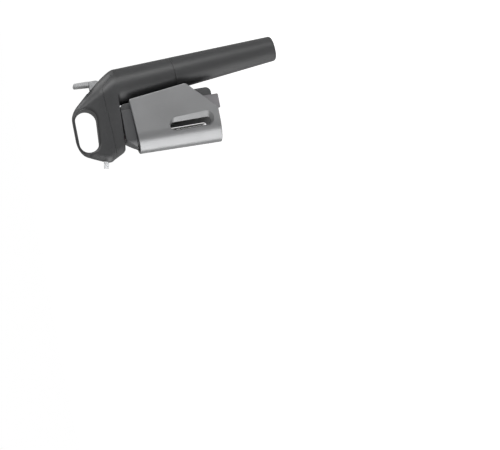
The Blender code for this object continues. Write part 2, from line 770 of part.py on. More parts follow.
def make_mast():
    low = -MAST_LENGTH
    high = FLOOR_Z + GAP + MAST_FLANGE_THICKNESS
    front = MAST_REAR_X - MAST_THICKNESS
    side = [
        (front, low, 0),
        (MAST_REAR_X, low, 0),
        (MAST_REAR_X, high, 0),
        (front - MAST_FLANGE, high, 0),
        (front - MAST_FLANGE, FLOOR_Z + GAP, 0),
        (front, FLOOR_Z + GAP, 0),
    ]
    blank = prism("mast_blank", rounded(side), -MAST_HALF_WIDTH, MAST_HALF_WIDTH, "Y")
    mast = baked(blank, "guide_mast", STEEL_METAL, slide)
    slot_low = STOP_PIN_Z - STROKE
    radius = MAST_SLOT_HALF_WIDTH
    slot = hull((0, STOP_PIN_Z), radius, (0, slot_low), radius, 8, 8)
    cutter = prism("mast_slot", slot, front - OVERRUN, MAST_REAR_X + OVERRUN, "Y")
    cutter.rotation_euler = (0, 0, -math.pi / 2)
    boolean(mast, cutter)
    for side_sign, side_name in ((1, "left"), (-1, "right")):
        x = front - MAST_FLANGE / 2
        y = side_sign * SCREW_SPACING / 2
        hole = screw_hole("mast_hole_" + side_name, x, y, FLOOR_Z - OVERRUN, high + OVERRUN)
        boolean(mast, hole)
        screw("mast_screw_" + side_name, (x, y, high + GAP), STEEL_METAL, slide)
    return mast


def head_cutters():
    """What is cut from the whole head before the seam divides it."""
    low = (FLOOR_Z - HEAD_BASE_Z) / HEAD_HEIGHT
    steps = (low + (CAVITY_TOP_SHARE - low) * step / ARC_COUNT for step in range(ARC_COUNT + 1))
    cavity = loft("head_cavity", [head_section(share, HEAD_WALL) for share in steps])
    bore_low = -HANDLE_SEAM - OVERRUN
    bore = rod("barrel_bore", BARREL_BORE, bore_low, FLOOR_Z + OVERRUN, parent=handle, count=ROUND_COUNT)
    return cavity, bore


def make_head():
    fillet = []
    for step in range(ARC_COUNT + 1):
        angle = math.pi / 2 * step / ARC_COUNT
        z = HEAD_BASE_Z - CORNER_FILLET * (1 - math.sin(angle))
        fillet.append(barrel_section(z, CORNER_FILLET * (1 - math.cos(angle))))
    barrel = [barrel_section(-HANDLE_SEAM - 2 * OVERRUN), barrel_section(-HANDLE_SEAM / 2), *fillet]
    head = [head_section(row[0]) for row in HEAD_SECTION_SHARES[1:]]
    whole = loft("whole_head", [*barrel, underside_section(), *head])
    cavity, bore = head_cutters()
    boolean(whole, cavity)

    seam_low = seam_outline(0, ABOVE_HEAD)
    above = prism("above_seam", seam_low, -HANDLE_RADIUS * 2, HANDLE_RADIUS * 2, "Y")
    raised = seam_outline(GAP, ABOVE_HEAD)
    cover_space = prism("cover_space", raised, -HANDLE_RADIUS * 2, HANDLE_RADIUS * 2, "Y")

    shell = add("body_shell", evaluated_mesh(whole), MATTE_BODY, slide)
    cover = add("head_cover", evaluated_mesh(whole), MATTE_BODY, slide)
    boolean(shell, above)
    boolean(shell, bore)
    boolean(cover, cover_space, "INTERSECT")
    end = rod("barrel_end", HANDLE_RADIUS * 2, -HANDLE_SEAM - 4 * OVERRUN, -HANDLE_SEAM, parent=handle)
    boolean(shell, end)
    bpy.data.objects.remove(whole, do_unlink=True)
    return shell, cover


def fit_shell(shell):
    """The lower shell's openings for what passes its floor."""
    hub = rod("hub_hole", HUB_BASE_RADIUS + GAP, HEAD_BASE_Z - OVERRUN, FLOOR_Z + OVERRUN)
    boolean(shell, hub)
    gap = RUNNING_GAP
    mast = [
        (MAST_REAR_X - MAST_THICKNESS - gap, -MAST_HALF_WIDTH - gap, 0),
        (MAST_REAR_X + gap, -MAST_HALF_WIDTH - gap, 0),
        (MAST_REAR_X + gap, MAST_HALF_WIDTH + gap, 0),
        (MAST_REAR_X - MAST_THICKNESS - gap, MAST_HALF_WIDTH + gap, 0),
    ]
    boolean(shell, prism("mast_opening", rounded(mast), HEAD_BASE_Z - OVERRUN, FLOOR_Z + OVERRUN))
    flange_top = FLOOR_Z + GAP + MAST_FLANGE_THICKNESS
    for side_sign, side_name in ((1, "left"), (-1, "right")):
        x = MAST_REAR_X - MAST_THICKNESS - MAST_FLANGE / 2
        y = side_sign * SCREW_SPACING / 2
        depth = flange_top - SCREW_LENGTH
        boolean(shell, screw_hole("shell_hole_" + side_name, x, y, depth, FLOOR_Z + OVERRUN))
    return smooth(shell)


def fit_cover(cover):
    """The cover's finger loop with eased edges, the trigger's slot and the spout's bore."""
    half, flare = LOOP_HALF_WIDTH, LOOP_FLARE
    stations = []
    for step in range(ARC_COUNT + 1):
        angle = math.pi / 2 * step / ARC_COUNT
        stations.append((half - flare * math.cos(angle), flare * (1 - math.sin(angle))))
    stations.reverse()
    stations = [(half + OVERRUN, flare + OVERRUN / 2), *[(y, flare - grown) for y, grown in stations]]
    rings = []
    for y, grown in [*stations, *[(-y, grown) for y, grown in reversed(stations)]]:
        outline = hull(
            (LOOP_REAR_X, LOOP_REAR_Z),
            LOOP_REAR_RADIUS + grown,
            (LOOP_FRONT_X, LOOP_FRONT_Z),
            LOOP_FRONT_RADIUS + grown,
            LOFT_FRONT_COUNT,
            LOFT_FRONT_COUNT,
        )
        rings.append([(x, y, z) for x, z in outline])
    boolean(cover, loft("loop_hole", rings))

    add_trigger_ears(cover)
    spout = empty("spout_axis", (-SPOUT_TIP_X, 0, SPOUT_TIP_Z), 90 + SPOUT_TILT_ANGLE, slide)
    boolean(cover, rod("spout_bore", SPOUT_RADIUS + GAP, -OVERRUN, SPOUT_BORE_DEPTH, parent=spout))
    bush("spout", SPOUT_RADIUS, SPOUT_BORE, 0, SPOUT_LENGTH, CLEAR_TUBE, spout, count=SMALL_COUNT)
    return smooth(cover)


def add_trigger_ears(cover):
    """A block that hangs from the sloping roof, split by the trigger's slot into two ears for its pin."""
    x, z, radius = TRIGGER_PIN_X, TRIGGER_PIN_Z, EAR_RADIUS
    inner = TRIGGER_HALF_WIDTH + RUNNING_GAP
    outer = inner + EAR_THICKNESS
    outline = rounded([
        (x - radius, z - radius, TRIGGER_CORNER),
        (x + radius, z - radius, TRIGGER_CORNER),
        (x + radius, roof_z(x + radius, outer, HEAD_WALL / 2), 0),
        (x - radius, roof_z(x - radius, outer, HEAD_WALL / 2), 0),
    ])
    boolean(cover, prism("ears", outline, -outer, outer, "Y"), "UNION")
    front = x - BOSS_REACH - TRIGGER_SLOT_FRONT
    rear = x + TRIGGER_HUB_RADIUS + 2 * TRIGGER_CORNER
    beyond = PADDLE_OUTER_X + 2 * OVERRUN
    slot = [
        (beyond, z + TRIGGER_HUB_RADIUS - TRIGGER_CORNER, 0),
        (beyond, BOSS_TOP_Z + 2 * OVERRUN, 0),
        (front, BOSS_TOP_Z + 2 * OVERRUN, 0),
        (front, z - radius - OVERRUN, 0),
        (rear, z - radius - OVERRUN, 0),
        (rear, z + TRIGGER_HUB_RADIUS - TRIGGER_CORNER, 0),
    ]
    boolean(cover, prism("trigger_slot", rounded(slot), -inner, inner, "Y"))
    pin = circle(TRIGGER_PIN_RADIUS + GAP, (x, z))
    boolean(cover, prism("ear_bore", pin, -outer - GAP, outer + GAP, "Y"))


def fit_cover_screws(shell, cover):
    """Two screws from the underside, recessed in the shell, into bosses that hang from the cover."""
    seat = HEAD_BASE_Z + COVER_SCREW_INSET + SCREW_HEAD
    boss_low = FLOOR_Z + GAP
    for side_sign, side_name in ((1, "left"), (-1, "right")):
        x, y = COVER_SCREW_X, side_sign * COVER_SCREW_Y
        boss_top = CAVITY_TOP_Z + HEAD_WALL
        boss = rod("cover_boss_" + side_name, COVER_BOSS_RADIUS, boss_low, boss_top, location=(x, y, 0))
        boolean(cover, boss, "UNION")
        through = screw_hole("cover_hole_" + side_name, x, y, HEAD_BASE_Z - OVERRUN, boss_low + SCREW_LENGTH)
        boolean(cover, through)
        boolean(shell, through)
        below = HEAD_BASE_Z - OVERRUN
        recess = screw_hole("screw_recess_" + side_name, x, y, below, seat, SCREW_HEAD_RADIUS + GAP)
        boolean(shell, recess)
        screw("cover_screw_" + side_name, (x, y, seat - GAP), STEEL_METAL, slide, down=False)


def make_needle():
    hub_top = HUB_SEAT_Z + HUB_HEIGHT
    base = HEAD_BASE_Z + UNDERSIDE_RISE
    needle_top = hub_top - NEEDLE_IN_HUB
    socket = NEEDLE_RADIUS + GAP
    turned("needle_hub", [
        (HUB_NIPPLE_RADIUS, hub_top + HUB_NIPPLE_HEIGHT),
        (HUB_NIPPLE_RADIUS, hub_top),
        (HUB_RADIUS, hub_top),
        (HUB_RADIUS, FLOOR_Z + GAP),
        (HUB_BASE_RADIUS, FLOOR_Z + GAP),
        (HUB_BASE_RADIUS, base),
        (socket, base),
        (socket, needle_top + GAP),
        (NEEDLE_BORE, needle_top + GAP),
        (NEEDLE_BORE, hub_top + HUB_NIPPLE_HEIGHT),
    ], STEEL_METAL, slide, count=SMALL_COUNT, closed=True)
    needle = turned("needle", [
        (NEEDLE_RADIUS, needle_top),
        (NEEDLE_RADIUS, -NEEDLE_REACH + NEEDLE_POINT),
        (0, -NEEDLE_REACH),
        (0, -NEEDLE_REACH + NEEDLE_POINT),
        (NEEDLE_BORE, -NEEDLE_REACH + NEEDLE_POINT),
        (NEEDLE_BORE, needle_top),
    ], STEEL_METAL, slide, count=PIN_COUNT, closed=True)
    port = NEEDLE_PORT_RISE - NEEDLE_REACH
    hole = prism("needle_port", circle(NEEDLE_PORT_RADIUS, (0, port), 8), 0, NEEDLE_RADIUS * 2, "Y")
    boolean(needle, hole)
    o_ring("needle_seal", NEEDLE_RADIUS + GAP + SEAL_WIRE, SEAL_WIRE, base - SEAL_WIRE - GAP, SEAL_RUBBER, slide)
    return needle


def make_tubes():
    hub_top = HUB_SEAT_Z + HUB_HEIGHT + HUB_NIPPLE_HEIGHT
    tilt = math.radians(SPOUT_TILT_ANGLE)
    inner = SPOUT_LENGTH + GAP
    end = (-SPOUT_TIP_X + inner * math.cos(tilt), 0, SPOUT_TIP_Z - inner * math.sin(tilt))
    away = TUBE_RADIUS * 2
    before = (end[0] + away * math.cos(tilt), 0, end[2] - away * math.sin(tilt))
    start = (0, 0, hub_top + GAP)
    rise = (0, 0, hub_top + TUBE_RISE)
    bend = (before[0] / 3, 0, (rise[2] + 2 * before[2]) / 3)
    wire("pour_tube", smooth_route([start, rise, bend, before, end], 4), TUBE_RADIUS, CLEAR_TUBE, slide)

    neck_x = handle_x(VALVE_TOP) - VALVE_NECK_RADIUS
    low = VALVE_TOP - TUBE_RADIUS * 2
    route = [
        (neck_x - GAP, 0, low),
        (neck_x - TUBE_RADIUS, 0, low + GAP),
        (neck_x - TUBE_RADIUS * 3, 0, GAS_TUBE_Z - TUBE_RADIUS * 3),
        (neck_x - TUBE_RADIUS * 6, 0, GAS_TUBE_Z),
        (HUB_RADIUS + TUBE_RADIUS * 6, 0, GAS_TUBE_Z),
        (HUB_RADIUS + GAP, 0, GAS_TUBE_Z),
    ]
    wire("gas_tube", smooth_route(route, 5), TUBE_RADIUS, STEEL_METAL, slide)


def make_trigger():
    """The lever's outline in the side view, a narrow body through the slot and a wide paddle."""
    boss = TRIGGER_PIN_X - BOSS_REACH
    corner = TRIGGER_CORNER
    heel_radius = TRIGGER_HUB_RADIUS * HUB_HEEL_SHARE
    body = [
        (TRIGGER_PIN_X + heel_radius, TRIGGER_PIN_Z - TRIGGER_HUB_RADIUS, heel_radius),
        (TRIGGER_PIN_X + TRIGGER_HUB_RADIUS + corner, TRIGGER_PIN_Z + TRIGGER_HUB_RADIUS, corner),
        (PADDLE_OUTER_X, PADDLE_ROOT_Z - TRIGGER_HEEL, corner),
        (PADDLE_OUTER_X, PADDLE_ROOT_Z + corner * 2, 0),
        (PADDLE_ROOT_X, PADDLE_ROOT_Z + corner * 2, 0),
        (PADDLE_ROOT_X, BOSS_TOP_Z, corner),
        (boss, BOSS_TOP_Z, corner),
        (boss, TRIGGER_PIN_Z + TRIGGER_HUB_RADIUS, corner),
        (TRIGGER_PIN_X - TRIGGER_CAM_REACH, TRIGGER_PIN_Z, corner),
        (TRIGGER_PIN_X - TRIGGER_CAM_REACH, TRIGGER_PIN_Z - TRIGGER_CAM_DROP, corner),
    ]
    half = TRIGGER_HALF_WIDTH
    blank = prism("trigger_body", rounded(body), -half, half, "Y")
    trigger = baked(blank, "trigger", TRIGGER_PLASTIC, slide, (TRIGGER_PIN_X, 0, TRIGGER_PIN_Z))
    paddle = [
        (PADDLE_OUTER_X, PADDLE_ROOT_Z, corner),
        (PADDLE_OUTER_X, PADDLE_TIP_Z, corner + GAP),
        (PADDLE_TIP_X, PADDLE_TIP_Z, corner + GAP),
        (PADDLE_ROOT_X, PADDLE_ROOT_Z, corner),
    ]
    wide = prism("trigger_paddle", rounded(paddle), -PADDLE_HALF_WIDTH, PADDLE_HALF_WIDTH, "Y")
    bevel(wide, corner, 2, BLUNT_BEVEL_LIMIT)
    boolean(trigger, wide, "UNION")
    pin = circle(TRIGGER_PIN_RADIUS + GAP, (TRIGGER_PIN_X, TRIGGER_PIN_Z))
    boolean(trigger, prism("trigger_bore", pin, -half - OVERRUN, half + OVERRUN, "Y"))
    smooth(trigger)

    reach = half + RUNNING_GAP + EAR_THICKNESS
    shaft = rod("trigger_pin_blank", TRIGGER_PIN_RADIUS, -reach, reach)
    shaft.rotation_euler = (math.pi / 2, 0, 0)
    shaft.location = (TRIGGER_PIN_X, 0, TRIGGER_PIN_Z)
    return smooth(baked(shaft, "trigger_pin", STEEL_METAL, slide))


def make_valve():
    top, base = VALVE_TOP, VALVE_BASE
    stem = STEM_RADIUS + GAP
    well = VALVE_SPRING_RADIUS + VALVE_SPRING_WIRE + GAP
    groove = STEM_RADIUS + 2 * SEAL_WIRE + 2 * GAP
    groove_top = top - STEM_LIFT - STEM_SEAL_DEPTH
    groove_low = groove_top - 2 * SEAL_WIRE - GAP
    turned("valve_body", [
        (VALVE_NECK_RADIUS, top),
        (VALVE_NECK_RADIUS, base + VALVE_FLANGE),
        (BARREL_BORE - GAP, base + VALVE_FLANGE),
        (BARREL_BORE - GAP, base),
        (stem, base),
        (stem, groove_low),
        (groove, groove_low),
        (groove, groove_top),
        (stem, groove_top),
        (stem, top - STEM_LIFT),
        (well, top - STEM_LIFT),
        (well, top),
    ], BRASS_METAL, handle, closed=True)
    bush("valve_gasket", BARREL_BORE - GAP, REGULATOR_BORE, base - GAP - GASKET, base - GAP, RUBBER, handle)
    o_ring("stem_seal", stem + SEAL_WIRE, SEAL_WIRE, groove_low + GAP / 2 + SEAL_WIRE, SEAL_RUBBER, handle)
    head_low = top + STEM_LIFT
    turned("valve_stem", [
        (0, head_low + STEM_HEAD),
        (STEM_HEAD_RADIUS * STEM_EDGE_SHARE, head_low + STEM_HEAD),
        (STEM_HEAD_RADIUS, head_low + STEM_HEAD / 2),
        (STEM_HEAD_RADIUS, head_low),
        (STEM_RADIUS, head_low),
        (STEM_RADIUS, base + STEM_LIFT),
        (0, base + STEM_LIFT),
    ], STEEL_METAL, handle, count=SMALL_COUNT)
    low = top - STEM_LIFT + VALVE_SPRING_WIRE + GAP
    high = head_low - VALVE_SPRING_WIRE - GAP
    points = coil(VALVE_SPRING_RADIUS, low, high, VALVE_SPRING_TURNS)
    spring("valve_spring", points, VALVE_SPRING_WIRE, handle)


def make_regulator():
    bore = CAPSULE_NECK_RADIUS + RECESS_CLEARANCE
    flange_top = REGULATOR_RIM + REGULATOR_FLANGE
    turned("regulator_body", [
        (BARREL_BORE - GAP, flange_top),
        (BARREL_BORE - GAP, REGULATOR_RIM),
        (REGULATOR_RADIUS, REGULATOR_RIM),
        (REGULATOR_RADIUS, RECESS_TOP),
        (REGULATOR_NOSE_RADIUS, RECESS_TOP - RECESS_CLEARANCE),
        (REGULATOR_NOSE_RADIUS, NOSE_BASE),
        (bore, NOSE_BASE),
        (bore, RECESS_TOP),
        (GAS_PASSAGE, RECESS_TOP),
        (GAS_PASSAGE, CHAMBER_BASE),
        (REGULATOR_BORE, CHAMBER_BASE),
        (REGULATOR_BORE, flange_top),
    ], BRASS_METAL, handle, closed=True)
    tip = CAPSULE_TOP - PIERCING_REACH
    flange = RECESS_TOP - GAP
    turned("piercing_pin", [
        (0, flange),
        (PIERCING_FLANGE_RADIUS, flange),
        (PIERCING_FLANGE_RADIUS, flange - PIERCING_FLANGE),
        (PIERCING_RADIUS, flange - PIERCING_FLANGE),
        (PIERCING_RADIUS, tip + PIERCING_REACH / 2),
        (0, tip),
    ], STEEL_METAL, handle, count=SMALL_COUNT)
    ring = PIERCING_FLANGE_RADIUS + GAP + SEAL_WIRE
    o_ring("capsule_seal", ring, SEAL_WIRE, CAPSULE_TOP + GAP / 2 + SEAL_WIRE, SEAL_RUBBER, handle)
    piston_low = CHAMBER_BASE + PISTON_LIFT
    piston_top = piston_low + PISTON_THICKNESS
    turned("regulator_piston", [
        (0, piston_top + PISTON_THICKNESS),
        (PISTON_STEM_RADIUS, piston_top + PISTON_THICKNESS),
        (PISTON_STEM_RADIUS, piston_top),
        (REGULATOR_BORE - GAP, piston_top),
        (REGULATOR_BORE - GAP, piston_low),
        (PISTON_STEM_RADIUS, piston_low),
        (PISTON_STEM_RADIUS, CHAMBER_BASE + GAP),
        (0, CHAMBER_BASE + GAP),
    ], BRASS_METAL, handle)
    middle = (PISTON_STEM_RADIUS + REGULATOR_BORE) / 2
    low = piston_top + REGULATOR_SPRING_WIRE + GAP
    high = flange_top - REGULATOR_SPRING_WIRE
    points = coil(middle, low, high, REGULATOR_SPRING_TURNS)
    spring("regulator_spring", points, REGULATOR_SPRING_WIRE, handle)


def make_capsule_and_cup():
    base, top, wall = CAPSULE_BASE, CAPSULE_TOP, CAPSULE_WALL
    shoulder = top - CAPSULE_NECK
    side = CAPSULE_RADIUS
    neck = CAPSULE_NECK_RADIUS
    dome = [point for point in arc(1, 0, 90, ARC_COUNT)]
    reach = side - neck
    outer = [(neck, top), (neck, shoulder)]
    outer += [(neck + reach * p.y, shoulder - reach * (1 - p.x)) for p in dome[1:]]
    outer += [(side * p.x, base + side / 2 * (1 - p.y)) for p in dome]
    bore = side - wall
    inner = [(bore * p.x, base + wall + bore / 2 * (1 - p.y)) for p in reversed(dome)]
    reach = bore - CAPSULE_HOLE
    inner += [(CAPSULE_HOLE + reach * p.y, shoulder - wall - reach * (1 - p.x)) for p in reversed(dome)]
    outer[-1] = (0, base)
    inner[0] = (0, base + wall)
    turned("gas_capsule", [*outer, *inner, (CAPSULE_HOLE, top)], CAPSULE_METAL, handle, closed=True)

    low, seam = -HANDLE_LENGTH, -HANDLE_SEAM - GAP
    pad_low = low + CUP_FLOOR + GAP
    rod("cup_pad", CUP_PAD_RADIUS, pad_low, pad_low + CUP_PAD_THICKNESS, RUBBER, handle)
    edge = HANDLE_EDGE
    end, start = HANDLE_END_RADIUS, handle_radius(-HANDLE_SEAM)
    collar = BARREL_BORE - GAP
    profile = [(collar - CUP_THREAD_DEPTH, seam + CUP_NECK), (collar, seam + CUP_NECK - CUP_THREAD_DEPTH)]
    turns = int((CUP_NECK - CUP_THREAD_PITCH / 2) / CUP_THREAD_PITCH)
    for turn in range(turns):
        crest = seam + CUP_NECK - CUP_THREAD_PITCH * turn - CUP_THREAD_PITCH / 2
        groove = collar - CUP_THREAD_DEPTH
        profile += [(collar, crest), (groove, crest - CUP_THREAD_DEPTH)]
        root = crest - CUP_THREAD_PITCH / 2
        profile += [(groove, root + CUP_THREAD_DEPTH), (collar, root)]
    profile += [(collar, seam), (start, seam)]
    profile += [(end - edge * (1 - p.x), low + edge * (1 - p.y)) for p in dome]
    profile += [(0, low), (0, low + CUP_FLOOR), (CUP_BORE - CUP_FLOOR, low + CUP_FLOOR)]
    profile += [(CUP_BORE, low + 2 * CUP_FLOOR), (CUP_BORE, seam + CUP_NECK)]
    turned("capsule_cup", profile, MATTE_BODY, handle, count=CUP_COUNT, closed=True)


def make_carriage():
    half, rear = BLOCK_HALF_WIDTH, BLOCK_REAR_X
    lead = math.sqrt(BLOCK_FRONT_RADIUS**2 - half**2)
    start = math.degrees(math.atan2(half, -lead))
    plan = [Vector((rear, -half)), Vector((rear, half))]
    plan += arc(BLOCK_FRONT_RADIUS, start, 360 - start, 2 * ARC_COUNT)
    block = prism("carriage_block", plan, BLOCK_BASE_Z, CARRIAGE_TOP_Z)
    carriage = baked(block, "carriage", DARK_PLASTIC)
    slope = [
        (-BLOCK_SLOPE_BASE_X, BLOCK_BASE_Z - JAW_EDGE, 0),
        (-BLOCK_SLOPE_TOP_X, CARRIAGE_TOP_Z, 0),
        (-BLOCK_SLOPE_TOP_X, CARRIAGE_TOP_Z + OVERRUN, 0),
        (-2 * BLOCK_SLOPE_BASE_X, CARRIAGE_TOP_Z + OVERRUN, 0),
        (-2 * BLOCK_SLOPE_BASE_X, BLOCK_BASE_Z - OVERRUN, 0),
    ]
    boolean(carriage, prism("block_slope", rounded(slope), -half - OVERRUN, half + OVERRUN, "Y"))
    bevel(carriage, JAW_EDGE, 2, KEEN_BEVEL_LIMIT)
    boss_low = BUMPER_THICKNESS + GAP
    boss_top = BLOCK_BASE_Z + OVERRUN
    boolean(carriage, rod("lip_boss", LIP_BOSS_RADIUS, boss_low, boss_top, count=ROUND_COUNT), "UNION")
    spine = [
        (SPINE_FRONT_X, CARRIAGE_TOP_Z, 0),
        (SPINE_FRONT_X, -SPINE_BASE_Z, 0),
        (SPINE_REAR_X, -SPINE_BASE_Z, SPINE_CORNER),
        (SPINE_REAR_X, -SPINE_KNEE_Z, 0),
        (SPINE_TOP_X, CARRIAGE_TOP_Z - SPINE_CHAMFER, 0),
        (SPINE_TOP_X - SPINE_CHAMFER, CARRIAGE_TOP_Z, 0),
    ]
    body = prism("spine", rounded(spine), -SPINE_HALF_WIDTH, SPINE_HALF_WIDTH, "Y")
    bevel(body, JAW_EDGE, 2, BLUNT_BEVEL_LIMIT)
    boolean(carriage, body, "UNION")
    for side_sign, side_name in ((1, "left"), (-1, "right")):
        centre = (JAW_PIN_X, side_sign * JAW_PIN_Y)
        root = (JAW_PIN_X, side_sign * (SPINE_HALF_WIDTH - JAW_PIN_RADIUS))
        outline = hull(root, LUG_RADIUS, centre, LUG_RADIUS, 8, 8)
        upper_low = JAW_BARREL_TOP_Z + GAP
        lower_low = -JAW_BARREL_BASE_Z - GAP - LUG_THICKNESS
        for level, low in (("upper", upper_low), ("lower", lower_low)):
            lug = prism(f"lug_{level}_{side_name}", outline, low, low + LUG_THICKNESS)
            boolean(carriage, lug, "UNION")
        top = JAW_BARREL_TOP_Z + GAP + LUG_THICKNESS
        low = -JAW_BARREL_BASE_Z - GAP - LUG_THICKNESS
        hole = rod("lug_bore_" + side_name, JAW_PIN_RADIUS + GAP, low - OVERRUN, top + GAP, location=(*centre, 0))
        boolean(carriage, hole)
        rod("jaw_pin_" + side_name, JAW_PIN_RADIUS, low, top, STEEL_METAL, location=(*centre, 0))
    gap = RUNNING_GAP
    tunnel = [
        (MAST_REAR_X - MAST_THICKNESS - gap, -MAST_HALF_WIDTH - gap, 0),
        (MAST_REAR_X + gap, -MAST_HALF_WIDTH - gap, 0),
        (MAST_REAR_X + gap, MAST_HALF_WIDTH + gap, 0),
        (MAST_REAR_X - MAST_THICKNESS - gap, MAST_HALF_WIDTH + gap, 0),
    ]
    boolean(carriage, prism("mast_tunnel", rounded(tunnel), -SPINE_BASE_Z - OVERRUN, CARRIAGE_TOP_Z + OVERRUN))
    bore = GUIDE_RADIUS + GAP
    flange = GUIDE_FLANGE_RADIUS + GAP
    seat = CARRIAGE_TOP_Z - GUIDE_FLANGE
    boolean(carriage, turned("guide_hole", [
        (0, CARRIAGE_TOP_Z + OVERRUN),
        (flange, CARRIAGE_TOP_Z + OVERRUN),
        (flange, seat - GAP),
        (bore, seat - GAP),
        (bore, 0),
        (0, 0),
    ], count=SMALL_COUNT))
    inner = NEEDLE_RADIUS + GUIDE_CLEARANCE
    turned("needle_guide", [
        (GUIDE_FLANGE_RADIUS, CARRIAGE_TOP_Z),
        (GUIDE_FLANGE_RADIUS, seat),
        (GUIDE_RADIUS, seat),
        (GUIDE_RADIUS, BUMPER_THICKNESS + GAP),
        (inner, BUMPER_THICKNESS + GAP),
        (inner, CARRIAGE_TOP_Z),
    ], STEEL_METAL, count=SMALL_COUNT, closed=True)
    bush("lip_bumper", BUMPER_RADIUS, BUMPER_HOLE, 0, BUMPER_THICKNESS, RUBBER)
    pin_low = SPINE_FRONT_X
    pin = rod("stop_pin_blank", STOP_PIN_RADIUS, pin_low, SPINE_TOP_X)
    pin.rotation_euler = (0, math.pi / 2, 0)
    pin.location = (0, 0, STOP_PIN_Z)
    baked(pin, "mast_stop_pin", STEEL_METAL)
    hole = rod("stop_pin_hole", STOP_PIN_RADIUS + GAP, pin_low - OVERRUN, SPINE_REAR_X + OVERRUN)
    hole.rotation_euler = (0, math.pi / 2, 0)
    hole.location = (0, 0, STOP_PIN_Z)
    boolean(carriage, hole)
    return smooth(carriage)


def make_neck_rest(carriage):
    """A block hollowed to the neck's round, whose foot and cheeks hold the end of the spine."""
    edge = REST_EDGE
    side = [
        (REST_FRONT_X, -REST_TOP_Z, edge),
        (REST_FRONT_X, -REST_BASE_Z, edge),
        (REST_FOOT_X, -REST_BASE_Z, edge),
        (REST_FOOT_X, -REST_CHEEK_TOP_Z, edge),
        (SPINE_FRONT_X, -REST_CHEEK_TOP_Z, 0),
        (SPINE_FRONT_X, -REST_TOP_Z, 0),
    ]
    blank = prism("rest_blank", rounded(side, 3), -REST_HALF_WIDTH, REST_HALF_WIDTH, "Y")
    rest = baked(blank, "neck_rest", REST_PLASTIC)
    hollow = NECK_RADIUS + PAD_THICKNESS + GAP
    inner = SPINE_HALF_WIDTH + GAP
    channel = [
        (SPINE_FRONT_X - GAP, -SPINE_BASE_Z - GAP),
        (REST_FOOT_X + OVERRUN, -SPINE_BASE_Z - GAP),
        (REST_FOOT_X + OVERRUN, OVERRUN),
        (SPINE_FRONT_X - GAP, OVERRUN),
    ]
    boolean(rest, prism("rest_channel", channel, -inner, inner, "Y"))
    boolean(rest, rod("rest_hollow", hollow, -REST_BASE_Z - OVERRUN, OVERRUN, count=HOLLOW_COUNT))
    bevel(rest, edge / 2, 1, BLUNT_BEVEL_LIMIT)
    pad = ring_sector(NECK_RADIUS, NECK_RADIUS + PAD_THICKNESS, -REST_PAD_ANGLE, REST_PAD_ANGLE)
    blank = prism("rest_pad_blank", pad, -REST_PAD_BASE_Z, -REST_PAD_TOP_Z)
    smooth(baked(blank, "neck_rest_pad", RUBBER))
    for level, z in (("upper", -REST_TOP_Z - REST_SCREW_INSET), ("lower", -SPINE_BASE_Z + REST_SCREW_INSET)):
        seat = hollow + SCREW_HEAD
        reach = MAST_REAR_X - MAST_THICKNESS - RUNNING_GAP - GAP
        head = [(0, reach), (SCREW_RADIUS, reach), (SCREW_RADIUS, seat), (SCREW_HEAD_RADIUS, seat)]
        head += [(SCREW_HEAD_RADIUS, hollow), (0, hollow)]
        blank = turned("rest_screw_blank", head, count=SMALL_COUNT)
        blank.rotation_euler = (0, math.pi / 2, 0)
        blank.location = (0, 0, z)
        smooth(baked(blank, "neck_rest_screw_" + level, STEEL_METAL))
        grown = [(0, reach + OVERRUN), (SCREW_RADIUS + GAP, reach + OVERRUN), (SCREW_RADIUS + GAP, seat + GAP)]
        grown += [(SCREW_HEAD_RADIUS + GAP, seat + GAP), (SCREW_HEAD_RADIUS + GAP, 0), (0, 0)]
        hole = turned("rest_hole_" + level, grown, count=SMALL_COUNT)
        hole.rotation_euler = (0, math.pi / 2, 0)
        hole.location = (0, 0, z)
        boolean(rest, hole)
        boolean(carriage, hole)
    return smooth(rest)


def jaw_plan(radius, z, rear):
    """Half of a level section through a jaw: a quarter round in front and a flat side behind."""
    gap = JAW_MEETING_GAP / 2
    front = [Vector((-math.sqrt(radius**2 - gap**2), gap))]
    first = 180 - math.degrees(math.asin(gap / radius))
    round_part = arc(radius, first, 90, 12)[1:]
    return [(x, y, z) for x, y in [(0, gap), *front, *round_part, (rear, radius), (rear, gap)]]


